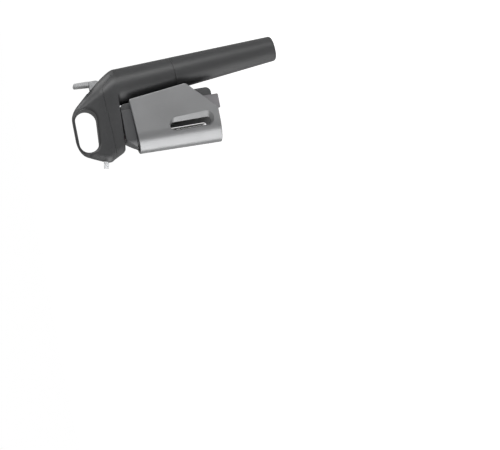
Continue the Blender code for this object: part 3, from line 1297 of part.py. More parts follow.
def make_jaw():
    """The left jaw, later mirrored: a drafted skin trimmed to its side view and hollowed out."""
    far = JAW_REAR_MID_X + OVERRUN
    top, low = JAW_TOP_Z, -JAW_BASE_Z - OVERRUN
    taper = (JAW_BASE_RADIUS - JAW_TOP_RADIUS) / (top + JAW_BASE_Z)
    high = top + OVERRUN
    skin = loft("jaw_skin", [
        jaw_plan(JAW_BASE_RADIUS + taper * OVERRUN, low, far),
        jaw_plan(JAW_TOP_RADIUS - taper * OVERRUN, high, far),
    ])
    reach = JAW_BASE_RADIUS + OVERRUN
    side = [
        (-reach, JAW_FRONT_TOP_Z, 0),
        (-reach, -JAW_BASE_Z, 0),
        (JAW_DIAGONAL_X, -JAW_BASE_Z, JAW_BASE_CORNER),
        (JAW_REAR_MID_X, -JAW_REAR_MID_Z, JAW_MID_CORNER),
        (JAW_REAR_TOP_X, JAW_TOP_Z, JAW_CORNER),
    ]
    trim = prism("jaw_trim", rounded(side), -OVERRUN, reach, "Y")
    boolean(skin, trim, "INTERSECT")
    hollow = loft("jaw_hollow", [
        [(x, y - OVERRUN * (y < JAW_MEETING_GAP), z) for x, y, z in jaw_plan(JAW_INNER_RADIUS, z, far + OVERRUN)]
        for z in (low - OVERRUN, high + OVERRUN)
    ])
    boolean(skin, hollow)
    bevel(skin, JAW_EDGE, 3)
    jaw = add("jaw_left", evaluated_mesh(skin), CLAMP_PLASTIC)
    bpy.data.objects.remove(skin, do_unlink=True)

    first, last = -SLOT_TOP_Z, -SLOT_TOP_Z - SLOT_LENGTH
    radius = SLOT_HALF_WIDTH
    middle = (JAW_TOP_RADIUS + JAW_BASE_RADIUS) / 2
    rings = []
    for y, share in (
        (middle + OVERRUN, 1 + OVERRUN / POCKET_DEPTH),
        (middle - POCKET_DEPTH, 0.0),
        (JAW_INNER_RADIUS - OVERRUN, 0.0),
    ):
        edge = radius + POCKET_GROWTH * share
        across = SLOT_X + POCKET_OFFSET * share
        outline = hull(
            (across, first + POCKET_TOP_MARGIN * share - edge),
            edge,
            (across, last - POCKET_BASE_MARGIN * share + edge),
            edge,
            LOFT_FRONT_COUNT,
            LOFT_FRONT_COUNT,
        )
        rings.append([(x, y, z) for x, z in outline])
    boolean(jaw, loft("window_slot", rings))
    x, y = JAW_PIN_X, JAW_PIN_Y
    web = hull((x, y + 2 * JAW_PIN_RADIUS), LUG_RADIUS, (x, y), LUG_RADIUS, WIRE_COUNT, WIRE_COUNT)
    boolean(jaw, prism("barrel_upper", web, -JAW_SPRING_TOP_Z, JAW_BARREL_TOP_Z), "UNION")
    boolean(jaw, prism("barrel_lower", web, -JAW_BARREL_BASE_Z, -JAW_SPRING_BASE_Z), "UNION")
    bore = rod("jaw_bore", JAW_PIN_RADIUS + GAP, -JAW_BASE_Z, JAW_TOP_Z, location=(x, y, 0))
    boolean(jaw, bore)
    return jaw


def make_jaws():
    blank = make_jaw()
    pin = Vector((JAW_PIN_X, JAW_PIN_Y, 0))
    left = smooth(baked(blank, "jaw_left", CLAMP_PLASTIC, None, pin))
    mirror = Matrix.Scale(-1, 4, (0, 1, 0))
    mesh = left.data.copy()
    mesh.transform(mirror)
    mesh.flip_normals()
    smooth(add("jaw_right", mesh, CLAMP_PLASTIC, None, mirror @ pin))
    for side_sign, side_name in ((1, "left"), (-1, "right")):
        angles = (JAW_PAD_FIRST_ANGLE, JAW_PAD_LAST_ANGLE)
        pad = ring_sector(NECK_RADIUS, NECK_RADIUS + PAD_THICKNESS, *angles)
        outline = [(x, side_sign * y) for x, y in pad]
        blank = prism("jaw_pad_blank", outline, -JAW_PAD_BASE_Z, -JAW_PAD_TOP_Z)
        origin = (JAW_PIN_X, side_sign * JAW_PIN_Y, 0)
        smooth(baked(blank, "jaw_pad_" + side_name, RUBBER, None, origin))
        make_jaw_spring(side_sign, side_name)


def make_jaw_spring(side_sign, side_name):
    """A coil round the pin, whose rear legs push the spine's flank and the jaw's tail apart."""
    radius, thick = JAW_SPRING_RADIUS, JAW_SPRING_WIRE
    low = -JAW_SPRING_BASE_Z + thick + GAP
    high = -JAW_SPRING_TOP_Z - thick - GAP
    steps = WIRE_COUNT * JAW_SPRING_TURNS + WIRE_COUNT // 2
    points = [(JAW_SPRING_LEG, -radius, low)]
    for step in range(steps + 1):
        angle = -math.pi / 2 - 2 * math.pi * step / WIRE_COUNT
        points.append((radius * math.cos(angle), radius * math.sin(angle), low + (high - low) * step / steps))
    points.append((JAW_SPRING_LEG, radius, high))
    points = [(x, side_sign * y, z) for x, y, z in points]
    spring("jaw_spring_" + side_name, points, thick, None, (JAW_PIN_X, side_sign * JAW_PIN_Y, 0))


shell, cover = make_head()
fit_shell(shell)
fit_cover(cover)
fit_cover_screws(shell, cover)
make_mast()
make_needle()
make_tubes()
make_trigger()
make_valve()
make_regulator()
make_capsule_and_cup()
carriage = make_carriage()
make_neck_rest(carriage)
make_jaws()
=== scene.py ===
"""Finished look of a hand-held gas dispenser, built round its CAD frame.

Metres, +Z up along the needle, the handle at +X and the spout towards -X. Every new piece is worked out
with numpy as whole arrays: rings of points stacked into a skin, a profile turned about an axis, or a flat
outline given a thickness. Modifiers cut, join and ease these solids, and the result is kept as a plain
mesh whose place is in its points.
"""

import json
import math

import bmesh
import bpy
import numpy as np
from bpy.props import FloatProperty, FloatVectorProperty, PointerProperty
from bpy.types import Operator, Panel, PropertyGroup
from mathutils import Matrix, Vector


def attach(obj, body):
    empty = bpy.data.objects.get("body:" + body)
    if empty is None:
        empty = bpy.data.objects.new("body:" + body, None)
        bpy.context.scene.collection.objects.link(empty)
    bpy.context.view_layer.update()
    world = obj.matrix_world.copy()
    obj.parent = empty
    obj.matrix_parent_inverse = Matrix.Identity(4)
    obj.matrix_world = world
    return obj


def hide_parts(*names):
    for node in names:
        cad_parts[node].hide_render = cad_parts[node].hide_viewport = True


bl_info = {
    "name": "Gas Dispenser Look",
    "version": (1, 0, 0),
    "blender": (4, 5, 0),
    "location": "3D View > Sidebar > Dispenser",
    "description": "Finished surfaces, materials, light and camera of a hand-held gas dispenser",
    "category": "Object",
}

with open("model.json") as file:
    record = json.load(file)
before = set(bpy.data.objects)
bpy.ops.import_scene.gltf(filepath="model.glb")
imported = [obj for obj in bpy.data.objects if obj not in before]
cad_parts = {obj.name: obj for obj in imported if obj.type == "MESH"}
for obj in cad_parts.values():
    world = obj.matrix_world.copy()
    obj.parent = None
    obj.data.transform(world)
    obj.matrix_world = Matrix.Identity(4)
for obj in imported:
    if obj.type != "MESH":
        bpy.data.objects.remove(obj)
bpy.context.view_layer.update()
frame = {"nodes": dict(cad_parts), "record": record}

# Clearances of the solids
GAP = 0.0003
RUNNING_GAP = 0.0004
SEAM_GAP = 0.00012
BEYOND = 0.003
LEVEL = math.pi / 2
CREASE = 34.0
WELD = 0.000002
MERGE_PARTS = 12

# Head: level outlines, each the hull of a front and a rear circle
HEAD_BASE_Z = 0.0268
HEAD_HEIGHT = 0.0492
HEAD_REACH = 0.0226
HEAD_DEPTH = 0.07126
HEAD_WALL = 0.0024
UNDERSIDE_RISE = 0.0016
CORNER_FILLET = 0.0036
FLOOR_Z = HEAD_BASE_Z + UNDERSIDE_RISE + HEAD_WALL
CAVITY_TOP_SHARE = 0.420
SIDE_SHARE = 0.065
CROWN_SHARE = 0.96
CROWN_RISE_SHARE = 0.04
# height, front reach and rear depth as shares of the head's, and both radii as shares of the handle's
HEAD_ROWS = np.array([
    (-0.150, 0.369, 1.005, 0.451, 0.986),
    (0.000, 0.584, 1.000, 0.476, 1.000),
    (0.065, 0.677, 0.982, 0.487, 0.995),
    (0.167, 0.792, 0.942, 0.492, 0.963),
    (0.268, 0.903, 0.895, 0.487, 0.910),
    (0.360, 1.000, 0.849, 0.476, 0.847),
    (0.400, 1.000, 0.826, 0.471, 0.810),
    (0.512, 0.916, 0.764, 0.460, 0.704),
    (0.634, 0.801, 0.690, 0.455, 0.598),
    (0.756, 0.673, 0.614, 0.450, 0.508),
    (0.858, 0.549, 0.550, 0.444, 0.455),
    (0.919, 0.407, 0.502, 0.429, 0.429),
    (0.963, 0.221, 0.454, 0.381, 0.381),
    (0.988, 0.027, 0.410, 0.290, 0.290),
    (0.997, -0.100, 0.378, 0.190, 0.190),
    (1.000, -0.177, 0.358, 0.090, 0.090),
])
# The seam between the shell and the cover in the side view, as shares of depth and height
SEAM_ROWS = np.array([
    (1.080, -0.260),
    (0.923, -0.028),
    (0.858, 0.085),
    (0.768, 0.232),
    (0.722, 0.272),
    (0.662, 0.284),
    (0.540, 0.278),
    (0.385, 0.260),
    (0.190, 0.243),
    (-0.080, 0.228),
    (-0.420, 0.218),
])

# Handle: a cone on a leaning axis, whose lower length is the cup
HANDLE_AXIS_X = 0.0545
HANDLE_LEAN = math.radians(4.57)
HANDLE_RADIUS = 0.0189
HANDLE_END_RADIUS = 0.0129
HANDLE_LENGTH = 0.1444
HANDLE_SEAM = 0.0348
BARREL_BORE = 0.014893
CUP_BORE = 0.0116
CUP_NECK = 0.0120
CUP_FLOOR = 0.0028
CUP_END_EDGE = 0.0030
CUP_THREAD_PITCH = 0.0040
CUP_THREAD_DEPTH = 0.0006

# Finger loop
LOOP_FRONT = np.array((0.0002, 0.0632))
LOOP_REAR = np.array((0.0229, 0.0624))
LOOP_FRONT_RADIUS = 0.0101
LOOP_REAR_RADIUS = 0.0110
LOOP_RIM_TURN = math.radians(72.0)

# Spout
SPOUT_RADIUS = 0.0026
SPOUT_BORE = 0.0017
SPOUT_LENGTH = 0.0180
SPOUT_TIP = (-0.0279, 0.0, 0.0507)
SPOUT_LEAN = math.radians(79.0)
SPOUT_BORE_DEPTH = 0.0265

# Needle
NEEDLE_RADIUS = 0.00095
NEEDLE_BORE = 0.00045
NEEDLE_REACH = 0.058
NEEDLE_POINT = 0.004
NEEDLE_POINT_POWER = 1.6
NEEDLE_TOP_Z = 0.0337
HUB_BASE_RADIUS = 0.0032

# Mast, stop pin and screws
MAST_THICKNESS = 0.0040
MAST_HALF_WIDTH = 0.0065
MAST_REAR_X = 0.0272
MAST_FLANGE = 0.0120
STOP_PIN_RADIUS = 0.0014
SCREW_RADIUS = 0.0011
SCREW_HEAD_RADIUS = 0.0020
SCREW_HEAD = 0.0013
SCREW_SPACING = 0.0084
COVER_SCREW = (0.0083, 0.0056)
COVER_SCREW_INSET = 0.0010

# Clamp carriage
NECK_RADIUS = 0.0145
PAD_THICKNESS = 0.0016
CARRIAGE_TOP_Z = 0.0264
BLOCK_BASE_Z = 0.0150
BLOCK_HALF_WIDTH = 0.0140
BLOCK_FRONT_RADIUS = 0.0150
BLOCK_REAR_X = 0.0262
BLOCK_SLOPE_TOP_X = 0.0052
BLOCK_SLOPE_BASE_X = 0.0152
LIP_BOSS_RADIUS = 0.0130
BUMPER_THICKNESS = 0.0025
GUIDE_RADIUS = 0.0030
GUIDE_FLANGE_RADIUS = 0.0045
GUIDE_FLANGE = 0.0010
SPINE_HALF_WIDTH = 0.0100
SPINE_FRONT_X = 0.0210
SPINE_TOP_X = 0.0329
SPINE_CHAMFER = 0.0030
SPINE_REAR_X = 0.0360
SPINE_KNEE_Z = -0.0300
SPINE_BASE_Z = -0.0690
SPINE_CORNER = 0.0055
CARRIAGE_EDGE_SHARE = 2.5

# Neck rest
REST_FRONT_X = 0.0121
REST_HALF_WIDTH = 0.0115
REST_TOP_Z = -0.0040
REST_BASE_Z = -0.0753
REST_FOOT_X = 0.0272
REST_CHEEK_TOP_Z = -0.0540
REST_EDGE = 0.0012
REST_EDGE_SHARE = 1.5
REST_SCREW_INSET = 0.0130
REST_SCREWS = ((0.0, 0.0, REST_TOP_Z - REST_SCREW_INSET), (0.0, 0.0, SPINE_BASE_Z + REST_SCREW_INSET))

# Jaws
JAW_TOP_RADIUS = 0.0192
JAW_BASE_RADIUS = 0.0211
JAW_INNER_RADIUS = NECK_RADIUS + PAD_THICKNESS + GAP
JAW_TOP_Z = 0.0168
JAW_FRONT_TOP_Z = 0.0136
JAW_REAR_TOP_X = 0.0352
JAW_REAR_MID = (0.0418, -0.0430)
JAW_DIAGONAL_X = 0.0120
JAW_BASE_Z = -0.0715
JAW_MEETING_GAP = 0.0005
JAW_CORNERS = (0.0060, 0.0050, 0.0015)
JAW_CREASE = 24.0
JAW_PIN_X = 0.0290
JAW_PIN_Y = (SPINE_HALF_WIDTH + JAW_INNER_RADIUS) / 2
JAW_PIN_RADIUS = 0.0015
JAW_BARREL_RANGES = ((-0.0125, 0.0085), (-0.0462, -0.0205))
LUG_THICKNESS = 0.0036
LUG_RADIUS = JAW_PIN_Y - SPINE_HALF_WIDTH - GAP
WINDOW_X = 0.0002
WINDOW_TOP_Z = -0.0198
WINDOW_LENGTH = 0.0424
WINDOW_HALF_WIDTH = 0.0040
RECESS_OFFSET = 0.0015
RECESS_TOP_MARGIN = 0.0008
RECESS_BASE_MARGIN = 0.0025

# Trigger
TRIGGER_PIN = (0.0566, 0.0384)
TRIGGER_PIN_RADIUS = 0.0015
TRIGGER_HALF_WIDTH = 0.0045
PADDLE_HALF_WIDTH = 0.0070
PADDLE_OUTER_X = 0.0626
PADDLE_TIP_X = 0.0590
PADDLE_ROOT_X = 0.0579
PADDLE_TIP_Z = 0.0683
PADDLE_ROOT_Z = 0.0524
BOSS_REACH = 0.0028
BOSS_TOP_Z = 0.0524
TRIGGER_HUB_RADIUS = 0.0036
TRIGGER_HEEL = 0.0079
TRIGGER_HEEL_SHARE = 0.8
TRIGGER_CAM_REACH = 0.0066
TRIGGER_CAM_DROP = 0.0026
TRIGGER_CORNER = 0.0010
TRIGGER_SLOT_FRONT = 0.0030
EAR_RADIUS = 0.0031
EAR_THICKNESS = 0.0026

# Photograph's camera: a point on its line of sight, its bearing, and where the origin falls in the picture
PICTURE_SIZE = (500.0, 450.0)
FOCAL_PIXELS = 1605.0
CAMERA_DISTANCE = 1.650
CAMERA_AZIMUTH = math.radians(-9.0)
CAMERA_ELEVATION = math.radians(7.0)
ORIGIN_PIXEL = (150.0, 133.3)
NEEDLE_SLOPE = math.radians(190.0)
SENSOR_WIDTH = 36.0
CLIP_RANGE = (0.05, 50.0)

# Floor and lamps: each lamp's place, and its width and height
FLOOR_REACH = 12.0
FLOOR_THICKNESS = 0.01
FLOOR_GLOW = 0.75
LAMP_AIM = (0.03, 0.0, -0.03)
KEY_PLACE = (1.29, -1.78, 0.35)
KEY_SIZE = (1.0, 2.6)
LOW_PLACE = (-1.30, -0.12, -0.15)
LOW_SIZE = (1.9, 1.1)
REAR_PLACE = (1.30, 0.20, 0.86)
REAR_SIZE = (1.0, 1.0)


def smooth_rows(rows, at):
    """Rows at new values of their first column, by cubic Hermite pieces between the given rows.

    The slope at a row is the weighted harmonic mean of the slopes beside it, or nought where they differ in
    sign, so the curve runs through every row and never overshoots one.
    """
    x, y = rows[:, 0], rows[:, 1:]
    step = np.diff(x)[:, None]
    slope = np.diff(y, axis=0) / step
    before, after = slope[:-1], slope[1:]
    heavy, light = 2 * step[1:] + step[:-1], step[1:] + 2 * step[:-1]
    with np.errstate(divide="ignore", invalid="ignore"):
        mean = (heavy + light) / (heavy / before + light / after)
    inner = np.where(before * after > 0, mean, 0.0)
    rate = np.vstack([slope[:1], inner, slope[-1:]])
    at = np.clip(at, x[0], x[-1])
    index = np.clip(np.searchsorted(x, at, side="right") - 1, 0, len(x) - 2)
    width = step[index]
    t = ((at - x[index])[:, None]) / width
    return (
        (1 + 2 * t) * (1 - t) ** 2 * y[index]
        + t * (1 - t) ** 2 * width * rate[index]
        + t**2 * (3 - 2 * t) * y[index + 1]
        + t**2 * (t - 1) * width * rate[index + 1]
    )


def smooth_line(points, count):
    """A smooth curve through points of a plane, each coordinate a cubic of the length run along them."""
    run = np.concatenate([[0.0], np.cumsum(np.linalg.norm(np.diff(points, axis=0), axis=1))])
    return smooth_rows(np.column_stack([run, points]), np.linspace(0.0, run[-1], count))


def arc(centre, radius, angle):
    """Points of circles on the X axis at angles, one row of the array per circle."""
    return np.stack([centre[:, None] + radius[:, None] * np.cos(angle), radius[:, None] * np.sin(angle)], -1)


def hull_rings(rear, rear_radius, front, front_radius, arc_steps=40, side_steps=14):
    """Outlines round two circles on the X axis: an arc of each, and the two tangents that join them.

    The angle from the axis to the point where a tangent touches has the cosine
    (rear radius - front radius) / distance. The arrays hold one value per ring.
    """
    circles = map(np.atleast_1d, (rear, rear_radius, front, front_radius))
    rear, rear_radius, front, front_radius = np.broadcast_arrays(*circles)
    apart = rear - front
    ratio = np.zeros(len(apart))
    np.divide(rear_radius - front_radius, apart, out=ratio, where=apart > 1e-9)
    lean = np.arccos(np.clip(ratio, -1.0, 1.0))[:, None]
    t = np.linspace(0.0, 1.0, arc_steps + 1)[None, :]
    rear_arc = arc(rear, rear_radius, math.pi + lean + (2 * math.pi - 2 * lean) * t)
    front_arc = arc(front, front_radius, math.pi - lean + 2 * lean * t)
    s = np.linspace(0.0, 1.0, side_steps + 2)[1:-1][None, :, None]
    out = rear_arc[:, -1:] * (1 - s) + front_arc[:, :1] * s
    back = front_arc[:, -1:] * (1 - s) + rear_arc[:, :1] * s
    return np.concatenate([rear_arc, out, front_arc, back], axis=1)


def pill(first, first_radius, last, last_radius, steps=32):
    """The outline round two circles anywhere in a plane, and its outward directions."""
    first, last = np.asarray(first, float), np.asarray(last, float)
    reach = last - first
    heading = math.atan2(reach[1], reach[0])
    lean = math.acos((first_radius - last_radius) / np.linalg.norm(reach))
    t = np.linspace(0.0, 1.0, steps + 1)
    angle = np.concatenate([heading + lean + (2 * math.pi - 2 * lean) * t, heading - lean + 2 * lean * t])
    centre = np.concatenate([np.tile(first, (steps + 1, 1)), np.tile(last, (steps + 1, 1))])
    radius = np.repeat([first_radius, last_radius], steps + 1)
    away = np.column_stack([np.cos(angle), np.sin(angle)])
    return centre + radius[:, None] * away, away


def rounded(corners, steps=8):
    """An outline whose corners (u, v, radius) are arcs that touch both of their sides."""
    corners = np.asarray(corners, float)
    place = corners[:, :2]
    before = np.roll(place, 1, axis=0) - place
    after = np.roll(place, -1, axis=0) - place
    before /= np.linalg.norm(before, axis=1)[:, None]
    after /= np.linalg.norm(after, axis=1)[:, None]
    half = np.arccos(np.clip((before * after).sum(1), -1.0, 1.0)) / 2
    middle = before + after
    middle /= np.linalg.norm(middle, axis=1)[:, None]
    centre = place + middle * (corners[:, 2] / np.sin(half))[:, None]
    first = place + before * (corners[:, 2] / np.tan(half))[:, None] - centre
    last = place + after * (corners[:, 2] / np.tan(half))[:, None] - centre
    turn = np.arctan2(first[:, 0] * last[:, 1] - first[:, 1] * last[:, 0], (first * last).sum(1))
    angle = turn[:, None] * np.linspace(0.0, 1.0, steps + 1)[None, :]
    cosine, sine = np.cos(angle), np.sin(angle)
    across = first[:, :1] * cosine - first[:, 1:] * sine
    along = first[:, :1] * sine + first[:, 1:] * cosine
    arcs = centre[:, None] + np.stack([across, along], -1)
    keep = np.ones((len(corners), steps + 1), bool)
    keep[corners[:, 2] == 0, 1:] = False
    return arcs[keep]


def lifted(outline, height):
    """Points of a plane outline at a height, as one ring in space."""
    return np.column_stack([outline, np.broadcast_to(height, len(outline))])


def mesh_object(name, points, faces):
    """A mesh of points and faces with its doubles merged and its faces turned outwards."""
    mesh = bpy.data.meshes.new(name)
    mesh.from_pydata(points.tolist(), [], faces)
    shape = bmesh.new()
    shape.from_mesh(mesh)
    bmesh.ops.remove_doubles(shape, verts=shape.verts, dist=WELD)
    bmesh.ops.recalc_face_normals(shape, faces=shape.faces)
    shape.to_mesh(mesh)
    shape.free()
    made = bpy.data.objects.new(name, mesh)
    bpy.context.scene.collection.objects.link(made)
    return made


def grid_faces(rows, columns, closed_rows=False):
    """Quads of a grid of rings, each ring closed, and the last ring joined to the first where asked."""
    last = rows if closed_rows else rows - 1
    row, column = np.meshgrid(np.arange(last), np.arange(columns), indexing="ij")
    here, above, beside = row * columns, (row + 1) % rows * columns, (column + 1) % columns
    quads = [here + column, here + beside, above + beside, above + column]
    return np.stack(quads, -1).reshape(-1, 4).tolist()


def skin(name, rings):
    """A closed solid over a stack of like rings, with its first and last ring filled."""
    rows, columns, _ = rings.shape
    faces = grid_faces(rows, columns)
    faces.append(list(range(columns))[::-1])
    faces.append(list(range((rows - 1) * columns, rows * columns)))
    return mesh_object(name, rings.reshape(-1, 3), faces)


def slab(name, outline, low, high, facing="Z"):
    """A flat outline with a thickness, square to Z, or to Y where the outline holds X and Z."""
    bottom, top = lifted(outline, low), lifted(outline, high)
    rings = np.stack([bottom, top])
    if facing == "Y":
        rings = rings[:, :, [0, 2, 1]]
    return skin(name, rings)


def turned(name, profile, base=(0.0, 0.0, 0.0), lean=0.0, steps=96):
    """A closed profile of (radius, height) turned about an axis that leans in the XZ plane.

    A point is base + height * axis + radius * (cosine * across + sine * side).
    """
    profile = np.asarray(profile, float)
    axis = np.array((-math.sin(lean), 0.0, math.cos(lean)))
    across = np.array((math.cos(lean), 0.0, math.sin(lean)))
    side = np.array((0.0, 1.0, 0.0))
    angle = np.arange(steps) * (2 * math.pi / steps)
    around = np.cos(angle)[:, None] * across + np.sin(angle)[:, None] * side
    rings = np.asarray(base) + profile[:, None, 1:] * axis + profile[:, None, :1] * around[None]
    off_axis = (profile[:, 0] + np.roll(profile[:, 0], -1)) > 0
    faces = np.array(grid_faces(len(profile), steps, closed_rows=True))[np.repeat(off_axis, steps)]
    return mesh_object(name, rings.reshape(-1, 3), faces.tolist())


def rod(name, radius, low, high, base=(0.0, 0.0, 0.0), lean=0.0, steps=48):
    """A plain round bar along an axis."""
    return turned(name, [(0.0, high), (radius, high), (radius, low), (0.0, low)], base, lean, steps)


def disc(place, radius):
    """A round outline about a place in a plane."""
    return pill(place, radius, (place[0] + WELD, place[1]), radius, 16)[0]


def quarter(radius, start, steps=6):
    """Sines and cosines of a quarter turn that ease an edge of a profile, scaled to a radius."""
    angle = np.radians(start) + np.linspace(0.0, math.pi / 2, steps + 1)
    return radius * np.column_stack([np.cos(angle), np.sin(angle)])


def boolean(piece, other, operation="DIFFERENCE"):
    """Cuts, joins or meets a solid with another one, which is used up when the piece is kept."""
    step = piece.modifiers.new(operation.lower(), "BOOLEAN")
    step.operation = operation
    step.object = other
    other.hide_render = True
    return piece


def drill(piece, *bar, **settings):
    """Cuts a round hole, given as a rod is."""
    return boolean(piece, rod(*bar, **settings))


def ease(piece, width, segments=2, angle=35.0, clamped=False):
    """Rounds every edge sharper than an angle, once the shortest edges left by a cut are merged."""
    piece.modifiers.new("merged", "WELD").merge_threshold = width / MERGE_PARTS
    step = piece.modifiers.new("eased", "BEVEL")
    step.use_clamp_overlap = clamped
    step.width = width
    step.segments = segments
    step.limit_method = "ANGLE"
    step.angle_limit = math.radians(angle)
    return piece


def applied(piece, name):
    """A new object whose mesh is the piece's with its modifiers applied."""
    bpy.context.view_layer.update()
    graph = bpy.context.evaluated_depsgraph_get()
    mesh = bpy.data.meshes.new_from_object(piece.evaluated_get(graph))
    mesh.name = name
    made = bpy.data.objects.new(name, mesh)
    bpy.context.scene.collection.objects.link(made)
    return made


def sealed(mesh):
    """Merges points that a cut left side by side, and fills any slit still open."""
    shape = bmesh.new()
    shape.from_mesh(mesh)
    bmesh.ops.remove_doubles(shape, verts=shape.verts, dist=WELD)
    bmesh.ops.holes_fill(shape, edges=shape.edges)
    shape.to_mesh(mesh)
    shape.free()


def kept(piece, name, crease=CREASE):
    """The piece remade as a plain closed mesh at the origin, sharp where it bends by more than the crease's
    degrees, with its tools removed.
    """
    solid = applied(piece, "solid")
    tools = {step.object for step in piece.modifiers if step.type == "BOOLEAN"}
    for old in (piece, *tools):
        bpy.data.objects.remove(old, do_unlink=True)
    sealed(solid.data)
    solid.data.shade_smooth()
    solid.data.set_sharp_from_angle(angle=math.radians(crease))
    solid.modifiers.new("normals", "WEIGHTED_NORMAL").keep_sharp = True
    made = applied(solid, name)
    bpy.data.objects.remove(solid, do_unlink=True)
    return made


def dress(piece, finish, body, slot, *nodes):
    """Gives a piece its material, and says which body carries it and which CAD nodes it stands for."""
    piece.data.materials.clear()
    piece.data.materials.append(finish)
    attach(piece, body)
    if nodes:
        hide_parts(*nodes)
    return piece


def node_tree(name):
    """A new material, its nodes and a short way to link them."""
    made = bpy.data.materials.new(name)
    made.use_nodes = True
    tree = made.node_tree
    return made, tree.nodes, tree.links


def pattern(nodes, links, kind, scale, detail=2.0, stretch=(1.0, 1.0, 1.0)):
    """A noise or cell pattern on object coordinates, stretched along the axes."""
    place = nodes.new("ShaderNodeTexCoord")
    mapping = nodes.new("ShaderNodeMapping")
    mapping.inputs["Scale"].default_value = stretch
    links.new(place.outputs["Object"], mapping.inputs["Vector"])
    made = nodes.new(kind)
    made.inputs["Scale"].default_value = scale
    if kind == "ShaderNodeTexNoise":
        made.inputs["Detail"].default_value = detail
    links.new(mapping.outputs["Vector"], made.inputs["Vector"])
    return made.outputs[0]


def spread(nodes, links, source, low, high):
    """A pattern's values mapped from its middle range to a lower and an upper value."""
    made = nodes.new("ShaderNodeMapRange")
    made.inputs["From Min"].default_value = 0.3
    made.inputs["From Max"].default_value = 0.7
    made.inputs["To Min"].default_value = low
    made.inputs["To Max"].default_value = high
    links.new(source, made.inputs["Value"])
    return made.outputs["Result"]


def tinted(nodes, links, source, first, last):
    """A pattern turned into a blend of two colours."""
    made = nodes.new("ShaderNodeMix")
    made.data_type = "RGBA"
    made.inputs[6].default_value = (*first, 1.0)
    made.inputs[7].default_value = (*last, 1.0)
    links.new(spread(nodes, links, source, 0.0, 1.0), made.inputs[0])
    return made.outputs[2]


def bumped(nodes, links, source, distance, strength, normal=None):
    """A pattern as relief of a depth."""
    made = nodes.new("ShaderNodeBump")
    made.inputs["Distance"].default_value = distance
    made.inputs["Strength"].default_value = strength
    links.new(source, made.inputs["Height"])
    if normal is not None:
        links.new(normal, made.inputs["Normal"])
    return made.outputs["Normal"]


def moulded(name, colour, roughness, grain=0.00002, metallic=0.0, mottle=0.10):
    """Moulded plastic: a fine spark-eroded grain, faint flow marks, and roughness that drifts."""
    made, nodes, links = node_tree(name)
    shader = nodes["Principled BSDF"]
    shader.inputs["Metallic"].default_value = metallic
    dark = tuple(channel * (1 - mottle) for channel in colour)
    light = tuple(channel * (1 + mottle) for channel in colour)
    flow = pattern(nodes, links, "ShaderNodeTexNoise", 60.0, 3.0, (1.0, 1.0, 0.35))
    speck = pattern(nodes, links, "ShaderNodeTexNoise", 2400.0, 2.0)
    links.new(tinted(nodes, links, flow, dark, light), shader.inputs["Base Color"])
    drift = pattern(nodes, links, "ShaderNodeTexNoise", 35.0, 4.0)
    links.new(spread(nodes, links, drift, roughness - 0.035, roughness + 0.035), shader.inputs["Roughness"])
    links.new(bumped(nodes, links, speck, grain, 0.35), shader.inputs["Normal"])
    return made


def machined(name, colour, roughness, stretch):
    """Machined metal: fine marks of the tool drawn out one way, with a little stain."""
    made, nodes, links = node_tree(name)
    shader = nodes["Principled BSDF"]
    shader.inputs["Metallic"].default_value = 1.0
    dark = tuple(channel * 0.86 for channel in colour)
    stain = pattern(nodes, links, "ShaderNodeTexNoise", 180.0, 4.0)
    links.new(tinted(nodes, links, stain, dark, colour), shader.inputs["Base Color"])
    marks = pattern(nodes, links, "ShaderNodeTexNoise", 900.0, 3.0, stretch)
    links.new(spread(nodes, links, marks, roughness - 0.08, roughness + 0.10), shader.inputs["Roughness"])
    links.new(bumped(nodes, links, marks, 0.00001, 0.25), shader.inputs["Normal"])
    return made


def rubbery(name, colour):
    """Rubber: matte and slightly dusty, with a fine pebbled relief."""
    made, nodes, links = node_tree(name)
    shader = nodes["Principled BSDF"]
    dust = pattern(nodes, links, "ShaderNodeTexNoise", 120.0, 5.0)
    light = tuple(channel * 1.5 + 0.004 for channel in colour)
    links.new(tinted(nodes, links, dust, colour, light), shader.inputs["Base Color"])
    links.new(spread(nodes, links, dust, 0.70, 0.88), shader.inputs["Roughness"])
    pebble = pattern(nodes, links, "ShaderNodeTexVoronoi", 1800.0)
    links.new(bumped(nodes, links, pebble, 0.00003, 0.3), shader.inputs["Normal"])
    return made


def clear_plastic(name, colour, clearness):
    """Milky clear plastic: part of the light passes, over faint streaks along the tube."""
    made, nodes, links = node_tree(name)
    shader = nodes["Principled BSDF"]
    shader.inputs["Transmission Weight"].default_value = clearness
    shader.inputs["IOR"].default_value = 1.49
    streak = pattern(nodes, links, "ShaderNodeTexNoise", 400.0, 2.0, (0.2, 1.0, 1.0))
    pale = tuple(channel * 0.94 for channel in colour)
    links.new(tinted(nodes, links, streak, pale, colour), shader.inputs["Base Color"])
    links.new(spread(nodes, links, streak, 0.12, 0.22), shader.inputs["Roughness"])
    return made


def colour_setting(name, description, value):
    """A colour of a material."""
    settings = {"name": name, "description": description, "default": value}
    return FloatVectorProperty(subtype="COLOR", min=0.0, max=1.0, **settings)


def share_setting(name, description, value):
    """A value between nought and one."""
    settings = {"name": name, "description": description, "default": value}
    return FloatProperty(subtype="FACTOR", min=0.05, max=0.95, **settings)


def length_setting(name, description, low, high, value):
    """A length in metres, within a range that its piece can take."""
    settings = {"name": name, "description": description, "default": value}
    return FloatProperty(unit="LENGTH", min=low, max=high, **settings)


def light_setting(name, description, high, value):
    """A lamp's power in watts, or the strength of the surroundings."""
    return FloatProperty(name=name, description=description, min=0.0, max=high, default=value)


